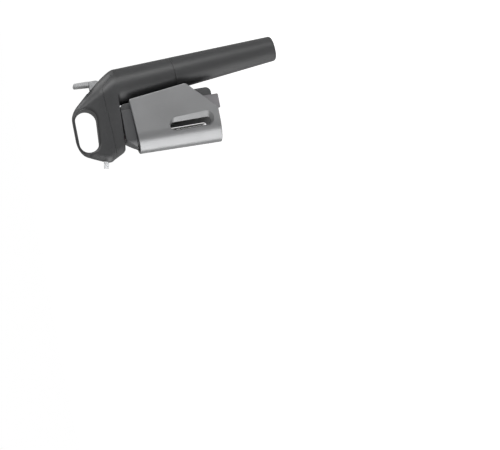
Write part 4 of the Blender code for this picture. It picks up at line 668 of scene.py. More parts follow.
class FinishSettings(PropertyGroup):
    body: colour_setting("Body", "Colour of the head, the handle and the cup", (0.030, 0.0305, 0.0315))
    carriage: colour_setting("Carriage", "Colour of the dark block and its spine", (0.042, 0.043, 0.045))
    jaws: colour_setting("Jaws", "Colour of the two clamp jaws", (0.212, 0.214, 0.217))
    rest: colour_setting("Neck rest", "Colour of the neck rest", (0.165, 0.160, 0.168))
    trigger: colour_setting("Trigger", "Colour of the trigger", (0.330, 0.335, 0.340))
    body_roughness: share_setting("Body roughness", "How matte the head and the handle are", 0.42)
    jaw_roughness: share_setting("Jaw roughness", "How matte the jaws are", 0.34)


class ShapeSettings(PropertyGroup):
    loop_rim: length_setting("Loop rim", "Radius of the finger loop's rounded rim", 0.0005, 0.004, 0.0026)
    edge: length_setting("Moulded edge", "Radius of the mouldings' small edges", 0.0001, 0.001, 0.00035)
    jaw_edge: length_setting("Jaw edge", "Radius of the jaws' outer edges", 0.0002, 0.0015, 0.0009)
    recess_depth: length_setting("Window recess", "Depth of the slope round windows", 0.0005, 0.0035, 0.0028)
    recess_half_width: length_setting("Recess half width", "Half of a recess's width", 0.0045, 0.008, 0.0072)


class StageSettings(PropertyGroup):
    floor_drop: length_setting("Floor drop", "How far the floor lies under the lip", 0.15, 1.0, 0.40)
    key_power: light_setting("Key lamp", "Power of the soft lamp beside the camera", 100.0, 46.0)
    low_power: light_setting("Low lamp", "Power of the soft lamp under the spout's side", 60.0, 28.0)
    rear_power: light_setting("Rear lamp", "Power of the soft lamp over the sloping back", 60.0, 9.0)
    world_strength: light_setting("Surrounding light", "Strength of the light all round", 2.0, 0.35)


def handle_x(z):
    """The handle's axis leans, so its X falls by the tangent of the lean for each metre of height."""
    return HANDLE_AXIS_X - math.tan(HANDLE_LEAN) * z


def handle_radius(z):
    """The handle is a cone from its full radius at the head's base to the cup's end."""
    share = (HEAD_BASE_Z - z) / (HEAD_BASE_Z + HANDLE_LENGTH)
    return HANDLE_RADIUS + (HANDLE_END_RADIUS - HANDLE_RADIUS) * share


def head_rows(shares):
    """Front, rear and both radii of the head at shares of its height, in metres."""
    rows = smooth_rows(HEAD_ROWS, np.atleast_1d(shares))
    return (rows * (-HEAD_REACH, HEAD_DEPTH, HANDLE_RADIUS, HANDLE_RADIUS)).T


def head_rings(shares, inset=0.0):
    """The head's level outlines at shares of its height, drawn in by an inset."""
    front, rear, front_radius, rear_radius = head_rows(shares)
    outline = hull_rings(rear - rear_radius, rear_radius - inset, front + front_radius, front_radius - inset)
    height = HEAD_BASE_Z + HEAD_HEIGHT * np.asarray(shares)
    return np.concatenate([outline, np.broadcast_to(height[:, None, None], (*outline.shape[:2], 1))], axis=2)


def barrel_rings(heights, flares):
    """Level outlines of the barrel, whose front grows by a flare towards the outline of the head's base."""
    centre, radius = handle_x(heights), handle_radius(heights)
    front, _, front_radius, _ = (value[0] for value in head_rows(0.0))
    share = flares / (centre - front - front_radius)
    middle = centre + (front + front_radius - centre) * share
    outline = hull_rings(centre, radius, middle, radius + (front_radius - radius) * share)
    return np.concatenate([outline, np.broadcast_to(heights[:, None, None], (*outline.shape[:2], 1))], axis=2)


def half_width(x, z):
    """Half of the head's width at a place of its side view, on that level's tangents or end circles."""
    front, rear, front_radius, rear_radius = head_rows((z - HEAD_BASE_Z) / HEAD_HEIGHT)
    near, far = front + front_radius, rear - rear_radius
    sine = (rear_radius - front_radius) / (far - near)
    cosine = np.sqrt(1 - sine**2)
    side = (front_radius + (x - near) * sine) / cosine
    nose = np.sqrt(np.maximum(front_radius**2 - (x - near) ** 2, 0.0))
    heel = np.sqrt(np.maximum(rear_radius**2 - (x - far) ** 2, 0.0))
    return np.where(x < near - front_radius * sine, nose, np.where(x > far - rear_radius * sine, heel, side))


def whole_head():
    """The barrel, a quarter-round fillet, the sloping underside and the head as one skin."""
    turn = np.linspace(0.0, math.pi / 2, 9)
    fillet_z = HEAD_BASE_Z - CORNER_FILLET * (1 - np.sin(turn))
    heights = np.concatenate([[-HANDLE_SEAM - 2 * BEYOND, -HANDLE_SEAM, -HANDLE_SEAM / 2, 0.0], fillet_z])
    flares = np.concatenate([np.zeros(4), CORNER_FILLET * (1 - np.cos(turn))])
    underside = head_rings([0.0])
    start = handle_x(HEAD_BASE_Z) - handle_radius(HEAD_BASE_Z) - CORNER_FILLET
    slope = UNDERSIDE_RISE / (start + HEAD_REACH)
    underside[..., 2] += slope * np.maximum(0.0, start - underside[..., 0])
    side = np.linspace(SIDE_SHARE, CROWN_SHARE, 64)
    shares = np.concatenate([side, CROWN_SHARE + CROWN_RISE_SHARE * np.sin(turn[1:])])
    rings = np.concatenate([barrel_rings(heights, flares), underside, head_rings(shares)])
    return skin("whole_head", rings)


def loop_cutter(rim):
    """The finger loop's tool, whose outline widens by rim * (1 - cos) while it rises by rim * sin.

    The turn stops short of a quarter, and a last straight step carries the tool past the head's skin.
    """
    outline, away = pill(LOOP_REAR, LOOP_REAR_RADIUS, LOOP_FRONT, LOOP_FRONT_RADIUS)
    turn = np.linspace(0.0, LOOP_RIM_TURN, 9)
    growth, rise = rim * (1 - np.cos(turn)), rim * (np.sin(turn) - 1)
    growth = np.append(growth, growth[-1] + BEYOND)
    rise = np.append(rise, rise[-1] + BEYOND / math.tan(LOOP_RIM_TURN))
    place = outline[None] + growth[:, None, None] * away[None]
    width = half_width(place[..., 0].ravel(), place[..., 1].ravel()).reshape(place.shape[:2])
    side = width + rise[:, None]
    half = np.stack([place[..., 0], side, place[..., 1]], -1)
    last = half[-1:].copy()
    last[..., 1] = HANDLE_RADIUS
    half = np.concatenate([half, last])
    mirrored = half * np.array((1.0, -1.0, 1.0))
    return skin("loop_tool", np.concatenate([mirrored[::-1], half]))


def above_seam(shift):
    """What lies above the seam, as a slab across the head."""
    line = smooth_line(SEAM_ROWS, 90) * (HEAD_DEPTH, HEAD_HEIGHT) + (0.0, HEAD_BASE_Z + shift)
    top = HEAD_BASE_Z + HEAD_HEIGHT + BEYOND
    outline = np.vstack([line, (line[-1, 0], top), (line[0, 0], top)])
    return slab("above_seam", outline, -2 * HANDLE_RADIUS, 2 * HANDLE_RADIUS, "Y")


def mast_outline():
    """The mast's section with its running gap."""
    low, high = MAST_REAR_X - MAST_THICKNESS - RUNNING_GAP, MAST_REAR_X + RUNNING_GAP
    half = MAST_HALF_WIDTH + RUNNING_GAP
    return np.array([(low, -half), (high, -half), (high, half), (low, half)])


class DISPENSER_OT_body(Operator):
    """Builds the head's cover with its finger loop, and the lower shell with the barrel"""

    bl_idname = "dispenser.body"
    bl_label = "Head and Barrel"

    def execute(self, context):
        shape, finish = context.scene.dispenser_shape, context.scene.dispenser_finish
        look = moulded("soft_charcoal", tuple(finish.body), finish.body_roughness)
        whole = whole_head()
        floor_share = (FLOOR_Z - HEAD_BASE_Z) / HEAD_HEIGHT
        cavity = skin("cavity", head_rings(np.linspace(floor_share, CAVITY_TOP_SHARE, 12), HEAD_WALL))
        boolean(whole, cavity)
        shell, cover = applied(whole, "shell_blank"), applied(whole, "cover_blank")
        for old in (whole, cavity):
            bpy.data.objects.remove(old, do_unlink=True)

        axis = (HANDLE_AXIS_X, 0.0, 0.0)
        boolean(shell, above_seam(GAP - SEAM_GAP))
        below, above, seam = HEAD_BASE_Z - BEYOND, FLOOR_Z + BEYOND, -HANDLE_SEAM
        drill(shell, "bore", BARREL_BORE, seam - BEYOND, above, axis, HANDLE_LEAN, 96)
        drill(shell, "end", 2 * HANDLE_RADIUS, seam - 4 * BEYOND, seam, axis, HANDLE_LEAN)
        drill(shell, "hub_hole", HUB_BASE_RADIUS + GAP, below, above)
        boolean(shell, slab("mast_hole", mast_outline(), below, above))
        for side in (1, -1):
            place = (COVER_SCREW[0], side * COVER_SCREW[1], 0.0)
            seat = HEAD_BASE_Z + COVER_SCREW_INSET + SCREW_HEAD
            drill(shell, "recess", SCREW_HEAD_RADIUS + GAP, below, seat, place)
            drill(shell, "thread_hole", SCREW_RADIUS + GAP, HEAD_BASE_Z, above, place)
            place = (MAST_REAR_X - MAST_THICKNESS - MAST_FLANGE / 2, side * SCREW_SPACING / 2, 0.0)
            drill(shell, "mast_screw_hole", SCREW_RADIUS + GAP, FLOOR_Z - SCREW_HEAD, above, place)
        ease(shell, shape.edge, clamped=True)
        dress(kept(shell, "lower_shell"), look, "head", "body_matte", "body_shell")

        boolean(cover, above_seam(GAP), "INTERSECT")
        self.cut_trigger_slot(cover)
        drill(cover, "spout_bore", SPOUT_RADIUS + GAP, -SPOUT_BORE_DEPTH, BEYOND, SPOUT_TIP, SPOUT_LEAN)
        ease(cover, shape.edge)
        boolean(cover, loop_cutter(shape.loop_rim))
        dress(kept(cover, "loop_cover"), look, "head", "body_matte", "head_cover")
        return {"FINISHED"}

    def cut_trigger_slot(self, cover):
        """Hangs a block under the sloping roof and splits it and the roof by the trigger's slot."""
        x, z = TRIGGER_PIN
        inner = TRIGGER_HALF_WIDTH + RUNNING_GAP
        outer = inner + EAR_THICKNESS
        roof = HEAD_BASE_Z + HEAD_HEIGHT * CAVITY_TOP_SHARE
        block = [(x - EAR_RADIUS, z - EAR_RADIUS), (x, z - EAR_RADIUS), (x, roof), (x - EAR_RADIUS, roof)]
        boolean(cover, slab("ears", np.array(block), -outer, outer, "Y"), "UNION")
        front = x - BOSS_REACH - TRIGGER_SLOT_FRONT
        rear = x + TRIGGER_HUB_RADIUS + 2 * TRIGGER_CORNER
        beyond = PADDLE_OUTER_X + 2 * BEYOND
        low = z - EAR_RADIUS - BEYOND
        shelf = z + TRIGGER_HUB_RADIUS - TRIGGER_CORNER
        slot = [
            (beyond, shelf),
            (beyond, BOSS_TOP_Z + 2 * BEYOND),
            (front, BOSS_TOP_Z + 2 * BEYOND),
            (front, low),
            (rear, low),
            (rear, shelf),
        ]
        boolean(cover, slab("slot", np.array(slot), -inner, inner, "Y"))
        pin = disc((x, z), TRIGGER_PIN_RADIUS + GAP)
        boolean(cover, slab("pin_hole", pin, -outer - GAP, outer + GAP, "Y"))


class DISPENSER_OT_cup(Operator):
    """Builds the screw-on cup that ends the handle, with its threaded collar and bore"""

    bl_idname = "dispenser.cup"
    bl_label = "Handle Cup"

    def execute(self, context):
        shape, finish = context.scene.dispenser_shape, context.scene.dispenser_finish
        look = moulded("soft_charcoal_cup", tuple(finish.body), finish.body_roughness)
        low, seam = -HANDLE_LENGTH, -HANDLE_SEAM - GAP
        end, start, edge = HANDLE_END_RADIUS, handle_radius(-HANDLE_SEAM), shape.edge
        collar, groove = BARREL_BORE - GAP, BARREL_BORE - GAP - CUP_THREAD_DEPTH
        rim = seam + CUP_NECK
        turns = int((CUP_NECK - CUP_THREAD_PITCH / 2) / CUP_THREAD_PITCH)
        crest = rim + CUP_THREAD_PITCH / 2 - CUP_THREAD_PITCH * np.arange(1, turns + 1)
        ring = [
            (collar, 0.0),
            (groove, -CUP_THREAD_DEPTH),
            (groove, CUP_THREAD_DEPTH - CUP_THREAD_PITCH / 2),
            (collar, -CUP_THREAD_PITCH / 2),
        ]
        thread = (np.zeros((turns, 1, 2)) + np.array(ring)[None]) + np.stack([0 * crest, crest], -1)[:, None]
        profile = [np.array([(groove, rim), (collar, rim - CUP_THREAD_DEPTH)]), thread.reshape(-1, 2)]
        profile.append(np.array([(collar, seam)]))
        profile.append(quarter(edge, 0.0)[::-1] + (start - edge, seam - edge))
        heights = np.linspace(seam - edge, low + CUP_END_EDGE, 26)[1:-1]
        radii = end + (start - end) * (heights - low) / (seam - low)
        profile.append(np.column_stack([radii, heights]))
        foot = end + (start - end) * CUP_END_EDGE / (seam - low)
        turn = np.linspace(0.0, math.pi / 2, 13)
        bend = np.column_stack([1 - np.cos(turn), np.sin(turn) - 1])
        profile.append((foot, low) - CUP_END_EDGE * bend)
        floor = low + CUP_FLOOR
        profile.append(np.array([(0.0, low), (0.0, floor), (CUP_BORE - CUP_FLOOR, floor)]))
        profile.append(np.array([(CUP_BORE, floor + CUP_FLOOR), (CUP_BORE, rim)]))
        cup = turned("cup_blank", np.vstack(profile), (HANDLE_AXIS_X, 0.0, 0.0), HANDLE_LEAN, 128)
        dress(kept(cup, "handle_cup"), look, "cup", "body_matte", "capsule_cup")
        return {"FINISHED"}


def jaw_plan(radius, height, rear):
    """Half of a level section through a jaw: a quarter round in front and a flat side to the rear."""
    gap = JAW_MEETING_GAP / 2
    angle = np.linspace(math.pi - math.asin(gap / radius), math.pi / 2, 49)
    front = radius * np.column_stack([np.cos(angle), np.sin(angle)])
    outline = np.vstack([(0.0, gap), front, (rear, radius), (rear, gap)])
    return lifted(outline, height)


class DISPENSER_OT_jaws(Operator):
    """Builds the two clamp jaws, mirror images, each with a long window in a sloping recess"""

    bl_idname = "dispenser.jaws"
    bl_label = "Clamp Jaws"

    def execute(self, context):
        shape, finish = context.scene.dispenser_shape, context.scene.dispenser_finish
        look = moulded("satin_grey", tuple(finish.jaws), finish.jaw_roughness, metallic=0.5, mottle=0.03)
        left = self.left_jaw(shape)
        right = applied(left, "right_jaw_blank")
        right.data.transform(Matrix.Scale(-1.0, 4, (0.0, 1.0, 0.0)))
        right.data.flip_normals()
        dress(kept(left, "jaw_left_shape", JAW_CREASE), look, "left_jaw", "clamp_grey", "jaw_left")
        dress(kept(right, "jaw_right_shape", JAW_CREASE), look, "right_jaw", "clamp_grey", "jaw_right")
        return {"FINISHED"}

    def left_jaw(self, shape):
        """A drafted skin, trimmed to the side view, hollowed, windowed and joined to its hinge barrels."""
        far = JAW_REAR_MID[0] + BEYOND
        low, high = JAW_BASE_Z - BEYOND, JAW_TOP_Z + BEYOND
        taper = (JAW_BASE_RADIUS - JAW_TOP_RADIUS) / (JAW_TOP_Z - JAW_BASE_Z)
        radii = (JAW_BASE_RADIUS + taper * BEYOND, JAW_TOP_RADIUS - taper * BEYOND)
        jaw = skin("jaw", np.stack([jaw_plan(radii[0], low, far), jaw_plan(radii[1], high, far)]))
        reach = JAW_BASE_RADIUS + BEYOND
        base_corner, mid_corner, top_corner = JAW_CORNERS
        side = [
            (-reach, JAW_FRONT_TOP_Z, 0.0),
            (-reach, JAW_BASE_Z, 0.0),
            (JAW_DIAGONAL_X, JAW_BASE_Z, base_corner),
            (*JAW_REAR_MID, mid_corner),
            (JAW_REAR_TOP_X, JAW_TOP_Z, top_corner),
        ]
        boolean(jaw, slab("trim", rounded(side, 12), -BEYOND, reach, "Y"), "INTERSECT")
        heights = (low - BEYOND, high + BEYOND)
        rings = np.stack([jaw_plan(JAW_INNER_RADIUS, height, far + BEYOND) for height in heights])
        rings[..., 1] -= BEYOND * (rings[..., 1] < JAW_MEETING_GAP)
        boolean(jaw, skin("hollow", rings))
        ease(jaw, shape.jaw_edge, 4, 45.0)
        boolean(jaw, self.window_tool(shape))
        pin = (JAW_PIN_X, JAW_PIN_Y, 0.0)
        place, inner = np.array(pin[:2]), LUG_RADIUS
        for bottom, top in JAW_BARREL_RANGES:
            web, _ = pill(place + (0.0, 2 * JAW_PIN_RADIUS), inner, place, inner, 20)
            boolean(jaw, slab("barrel", web, bottom, top), "UNION")
        drill(jaw, "pin_bore", JAW_PIN_RADIUS + GAP, JAW_BASE_Z, JAW_TOP_Z, pin)
        ease(jaw, shape.edge / 2, 2, 40.0)
        return jaw

    def window_tool(self, shape):
        """The window and its recess: two pills at two depths, and straight lines between their like points.

        A ring at a share of the way out is inner + share * (outer - inner), run on past the jaw's face.
        """
        middle = (JAW_TOP_RADIUS + JAW_BASE_RADIUS) / 2
        depth, half, wide = shape.recess_depth, WINDOW_HALF_WIDTH, shape.recess_half_width
        top, bottom = WINDOW_TOP_Z, WINDOW_TOP_Z - WINDOW_LENGTH
        inner, _ = pill((WINDOW_X, bottom + half), half, (WINDOW_X, top - half), half, 28)
        across = WINDOW_X + RECESS_OFFSET
        high, low = top + RECESS_TOP_MARGIN, bottom - RECESS_BASE_MARGIN
        outer, _ = pill((across, low + wide), wide, (across, high - wide), wide, 28)
        share = np.array((0.0, 0.0, 1 + BEYOND / depth))
        place = inner[None] + share[:, None, None] * (outer - inner)[None]
        level = np.array((JAW_INNER_RADIUS - BEYOND, middle - depth, middle + BEYOND))
        rings = np.stack([place[..., 0], np.broadcast_to(level[:, None], place.shape[:2]), place[..., 1]], -1)
        return skin("window", rings)


class DISPENSER_OT_clamp(Operator):
    """Builds the dark carriage with its spine, and the grey neck rest in front of the spine"""

    bl_idname = "dispenser.clamp"
    bl_label = "Carriage and Neck Rest"

    def execute(self, context):
        shape, finish = context.scene.dispenser_shape, context.scene.dispenser_finish
        dark = moulded("dark_block", tuple(finish.carriage), finish.body_roughness, 0.00003)
        grey = moulded("rest_grey_look", tuple(finish.rest), finish.body_roughness)
        dress(kept(self.carriage(shape), "carriage_shape"), dark, "clamp", "clamp_dark", "carriage")
        dress(kept(self.rest(shape), "neck_rest_shape"), grey, "clamp", "rest_grey", "neck_rest")
        return {"FINISHED"}

    def carriage(self, shape):
        """A block with a round front and a sloping nose, a boss over the lip, the spine and the lugs."""
        half = BLOCK_HALF_WIDTH
        start = math.atan2(half, -math.sqrt(BLOCK_FRONT_RADIUS**2 - half**2))
        angle = np.linspace(start, 2 * math.pi - start, 33)
        front = BLOCK_FRONT_RADIUS * np.column_stack([np.cos(angle), np.sin(angle)])
        plan = np.vstack([(BLOCK_REAR_X, -half), (BLOCK_REAR_X, half), front])
        made = slab("block", plan, BLOCK_BASE_Z, CARRIAGE_TOP_Z)
        slope = [
            (-BLOCK_SLOPE_BASE_X, BLOCK_BASE_Z - 3 * shape.edge),
            (-BLOCK_SLOPE_TOP_X, CARRIAGE_TOP_Z),
            (-BLOCK_SLOPE_TOP_X, CARRIAGE_TOP_Z + BEYOND),
            (-2 * BLOCK_SLOPE_BASE_X, CARRIAGE_TOP_Z + BEYOND),
            (-2 * BLOCK_SLOPE_BASE_X, BLOCK_BASE_Z - BEYOND),
        ]
        boolean(made, slab("nose", np.array(slope), -half - BEYOND, half + BEYOND, "Y"))
        ease(made, CARRIAGE_EDGE_SHARE * shape.edge, 4, 30.0)
        boss = rod("boss", LIP_BOSS_RADIUS, BUMPER_THICKNESS + GAP, BLOCK_BASE_Z + BEYOND, steps=96)
        boolean(made, boss, "UNION")
        spine = [
            (SPINE_FRONT_X, CARRIAGE_TOP_Z, 0.0),
            (SPINE_FRONT_X, SPINE_BASE_Z, 0.0),
            (SPINE_REAR_X, SPINE_BASE_Z, SPINE_CORNER),
            (SPINE_REAR_X, SPINE_KNEE_Z, 4 * SPINE_CORNER),
            (SPINE_TOP_X, CARRIAGE_TOP_Z - SPINE_CHAMFER, SPINE_CHAMFER / 2),
            (SPINE_TOP_X - SPINE_CHAMFER, CARRIAGE_TOP_Z, SPINE_CHAMFER / 2),
        ]
        body = slab("spine", rounded(spine, 10), -SPINE_HALF_WIDTH, SPINE_HALF_WIDTH, "Y")
        ease(body, CARRIAGE_EDGE_SHARE * shape.edge, 4, 50.0)
        boolean(made, body, "UNION")
        ranges = (
            (JAW_BARREL_RANGES[0][1] + GAP, JAW_BARREL_RANGES[0][1] + GAP + LUG_THICKNESS),
            (JAW_BARREL_RANGES[1][0] - GAP - LUG_THICKNESS, JAW_BARREL_RANGES[1][0] - GAP),
        )
        for side in (1, -1):
            pin = (JAW_PIN_X, side * JAW_PIN_Y)
            root = (JAW_PIN_X, side * (SPINE_HALF_WIDTH - JAW_PIN_RADIUS))
            for low, high in ranges:
                lug, _ = pill(root, LUG_RADIUS, pin, LUG_RADIUS, 20)
                boolean(made, slab("lug", lug, low, high), "UNION")
            low, high = ranges[1][0] - BEYOND, ranges[0][1] + GAP
            drill(made, "pin_hole", JAW_PIN_RADIUS + GAP, low, high, (*pin, 0.0))
        above = CARRIAGE_TOP_Z + BEYOND
        boolean(made, slab("tunnel", mast_outline(), SPINE_BASE_Z - BEYOND, above))
        drill(made, "guide_hole", GUIDE_RADIUS + GAP, 0.0, above)
        seat = CARRIAGE_TOP_Z - GUIDE_FLANGE - GAP
        drill(made, "guide_seat", GUIDE_FLANGE_RADIUS + GAP, seat, above)
        near, far = BEYOND - SPINE_FRONT_X, -SPINE_REAR_X - BEYOND
        drill(made, "stop_hole", STOP_PIN_RADIUS + GAP, far, near, lean=LEVEL)
        reach = MAST_REAR_X - MAST_THICKNESS
        for place in REST_SCREWS:
            drill(made, "rest_screw_hole", SCREW_RADIUS + GAP, -reach, -REST_FRONT_X, place, LEVEL)
        return made

    def rest(self, shape):
        """A block hollowed to the neck's round, whose foot and cheeks hold the end of the spine."""
        back = SPINE_FRONT_X - GAP
        side = [
            (REST_FRONT_X, REST_TOP_Z, REST_EDGE),
            (REST_FRONT_X, REST_BASE_Z, REST_EDGE),
            (REST_FOOT_X, REST_BASE_Z, REST_EDGE),
            (REST_FOOT_X, REST_CHEEK_TOP_Z, REST_EDGE),
            (SPINE_FRONT_X, REST_CHEEK_TOP_Z, 0.0),
            (SPINE_FRONT_X, REST_TOP_Z, 0.0),
        ]
        made = slab("rest", rounded(side, 8), -REST_HALF_WIDTH, REST_HALF_WIDTH, "Y")
        hollow = NECK_RADIUS + PAD_THICKNESS + GAP
        under, inner = SPINE_BASE_Z - GAP, SPINE_HALF_WIDTH + GAP
        foot = REST_FOOT_X + BEYOND
        channel = np.array([(back, under), (foot, under), (foot, BEYOND), (back, BEYOND)])
        boolean(made, slab("rest_channel", channel, -inner, inner, "Y"))
        drill(made, "rest_hollow", hollow, REST_BASE_Z - BEYOND, BEYOND, steps=160)
        ease(made, REST_EDGE_SHARE * shape.edge, 3, 50.0, True)
        seat = -hollow - SCREW_HEAD - GAP
        for place in REST_SCREWS:
            drill(made, "shank_hole", SCREW_RADIUS + GAP, -back - BEYOND, seat + GAP, place, LEVEL)
            drill(made, "head_hole", SCREW_HEAD_RADIUS + GAP, seat, 0.0, place, LEVEL)
        return made


class DISPENSER_OT_trigger(Operator):
    """Builds the light grey trigger: a narrow body through the slot and a wide tapered paddle"""

    bl_idname = "dispenser.trigger"
    bl_label = "Trigger"

    def execute(self, context):
        shape, finish = context.scene.dispenser_shape, context.scene.dispenser_finish
        look = moulded("satin_light_grey", tuple(finish.trigger), finish.jaw_roughness, 0.000008, mottle=0.03)
        x, z = TRIGGER_PIN
        hub, corner = TRIGGER_HUB_RADIUS, TRIGGER_CORNER
        boss = x - BOSS_REACH
        heel = TRIGGER_HEEL_SHARE * hub
        body = [
            (x + heel, z - hub, heel),
            (x + hub + corner, z + hub, corner),
            (PADDLE_OUTER_X, PADDLE_ROOT_Z - TRIGGER_HEEL, corner),
            (PADDLE_OUTER_X, PADDLE_ROOT_Z + 2 * corner, 0.0),
            (PADDLE_ROOT_X, PADDLE_ROOT_Z + 2 * corner, 0.0),
            (PADDLE_ROOT_X, BOSS_TOP_Z, corner),
            (boss, BOSS_TOP_Z, corner),
            (boss, z + hub, corner),
            (x - TRIGGER_CAM_REACH, z, corner),
            (x - TRIGGER_CAM_REACH, z - TRIGGER_CAM_DROP, corner),
        ]
        made = slab("trigger_body", rounded(body, 8), -TRIGGER_HALF_WIDTH, TRIGGER_HALF_WIDTH, "Y")
        paddle = [
            (PADDLE_OUTER_X, PADDLE_ROOT_Z, corner),
            (PADDLE_OUTER_X, PADDLE_TIP_Z, corner + GAP),
            (PADDLE_TIP_X, PADDLE_TIP_Z, corner + GAP),
            (PADDLE_ROOT_X, PADDLE_ROOT_Z, corner),
        ]
        wide = slab("paddle", rounded(paddle, 8), -PADDLE_HALF_WIDTH, PADDLE_HALF_WIDTH, "Y")
        ease(wide, corner, 5, 50.0)
        boolean(made, wide, "UNION")
        pin, reach = disc((x, z), TRIGGER_PIN_RADIUS + GAP), TRIGGER_HALF_WIDTH + BEYOND
        boolean(made, slab("pin_bore", pin, -reach, reach, "Y"))
        ease(made, shape.edge / 2, 2, 50.0, True)
        dress(kept(made, "trigger_shape"), look, "trigger_lever", "trigger_grey", "trigger")
        return {"FINISHED"}


class DISPENSER_OT_needle(Operator):
    """Builds the hollow needle with its drawn point, and the short clear spout"""

    bl_idname = "dispenser.needle"
    bl_label = "Needle and Spout"

    def execute(self, context):
        steel = machined("drawn_steel", (0.62, 0.62, 0.61), 0.24, (1.0, 1.0, 0.06))
        shoulder = NEEDLE_POINT - NEEDLE_REACH
        fall = np.linspace(0.0, 1.0, 13)[1:-1]
        radii = NEEDLE_RADIUS * np.sqrt(1 - fall**NEEDLE_POINT_POWER)
        point = np.column_stack([radii, shoulder - NEEDLE_POINT * fall])
        profile = np.vstack([
            (NEEDLE_RADIUS, NEEDLE_TOP_Z),
            (NEEDLE_RADIUS, shoulder),
            point,
            (0.0, -NEEDLE_REACH),
            (0.0, shoulder),
            (NEEDLE_BORE, shoulder),
            (NEEDLE_BORE, NEEDLE_TOP_Z),
        ])
        needle = turned("needle_blank", profile, steps=32)
        dress(kept(needle, "needle_tube"), steel, "head", "steel", "needle")

        clear = clear_plastic("clear_spout", (0.86, 0.87, 0.88), 0.55)
        edge = (SPOUT_RADIUS - SPOUT_BORE) / 2
        turn = np.linspace(0.0, math.pi, 13)
        middle = SPOUT_BORE + edge
        lip = np.column_stack([middle - edge * np.cos(turn), -edge + edge * np.sin(turn)])
        profile = np.vstack([(SPOUT_BORE, -SPOUT_LENGTH), lip, (SPOUT_RADIUS, -SPOUT_LENGTH)])
        spout = turned("spout_blank", profile, SPOUT_TIP, SPOUT_LEAN, 64)
        dress(kept(spout, "spout_tube"), clear, "head", "clear_tube", "spout")
        return {"FINISHED"}


class DISPENSER_OT_inner_parts(Operator):
    """Gives the CAD parts that stay their finished materials, by the record's material slots"""

    bl_idname = "dispenser.inner_parts"
    bl_label = "Inner Parts"

    def execute(self, context):
        looks = {
            "steel": machined("turned_steel", (0.62, 0.62, 0.61), 0.27, (1.0, 1.0, 0.15)),
            "capsule_steel": machined("capsule_steel_look", (0.56, 0.56, 0.57), 0.30, (1.0, 1.0, 0.2)),
            "brass": machined("turned_brass", (0.62, 0.46, 0.21), 0.30, (0.2, 0.2, 1.0)),
            "rubber_black": rubbery("black_rubber", (0.018, 0.018, 0.019)),
            "seal_red": rubbery("dark_red_seal", (0.050, 0.012, 0.010)),
            "clear_tube": clear_plastic("clear_hose", (0.80, 0.81, 0.82), 0.6),
        }
        for entry in frame["record"]["subparts"]:
            node, look = frame["nodes"][entry["node"]], looks.get(entry["material_slot"])
            if look is None or node.hide_render:
                continue
            node.data.materials.clear()
            node.data.materials.append(look)
        return {"FINISHED"}


def soft_lamp(name, place, size, power):
    """A rectangular area lamp at a place, turned to face the middle of the object."""
    data = bpy.data.lights.new(name, "AREA")
    data.shape = "RECTANGLE"
    data.size, data.size_y = size
    data.energy = power
    made = bpy.data.objects.new(name, data)
    made.location = place
    made.rotation_euler = (Vector(LAMP_AIM) - Vector(place)).to_track_quat("-Z", "Y").to_euler()
    bpy.context.scene.collection.objects.link(made)
    return made


def camera_share(nodes, links):
    """One for what the camera sees straight or through clear parts, and nought for all other light."""
    rays = nodes.new("ShaderNodeLightPath")
    seen = nodes.new("ShaderNodeMath")
    seen.operation = "MAXIMUM"
    links.new(rays.outputs["Is Camera Ray"], seen.inputs[0])
    links.new(rays.outputs["Is Transmission Ray"], seen.inputs[1])
    return seen.outputs["Value"]


def photo_camera():
    """The photograph's camera, turned so that the needle's slope and the origin's pixel agree."""
    azimuth, elevation = CAMERA_AZIMUTH, CAMERA_ELEVATION
    level = math.cos(elevation)
    back = np.array((math.sin(azimuth) * level, -math.cos(azimuth) * level, math.sin(elevation)))
    place = back * CAMERA_DISTANCE
    right = np.cross(-back, (0.0, 0.0, 1.0))
    right /= np.linalg.norm(right)
    up = np.cross(right, -back)
    turn = NEEDLE_SLOPE
    across = right * math.sin(turn) + up * math.cos(turn)
    along = -right * math.cos(turn) + up * math.sin(turn)
    centre = np.array(PICTURE_SIZE) / 2
    ray = np.array([
        (ORIGIN_PIXEL[0] - centre[0]) / FOCAL_PIXELS,
        (centre[1] - ORIGIN_PIXEL[1]) / FOCAL_PIXELS,
        -1.0,
    ])
    swing = Vector((0.0, 0.0, -1.0)).rotation_difference(Vector(ray)).to_matrix()
    turned_frame = Matrix(np.stack([across, along, back], axis=1).tolist()) @ swing.transposed()
    data = bpy.data.cameras.new("photo_camera")
    data.sensor_width = SENSOR_WIDTH
    data.lens = FOCAL_PIXELS / PICTURE_SIZE[0] * SENSOR_WIDTH
    data.clip_start, data.clip_end = CLIP_RANGE
    made = bpy.data.objects.new("photo_camera", data)
    made.matrix_world = Matrix.Translation(place.tolist()) @ turned_frame.to_4x4()
    bpy.context.scene.collection.objects.link(made)
    bpy.context.scene.camera = made
    return made


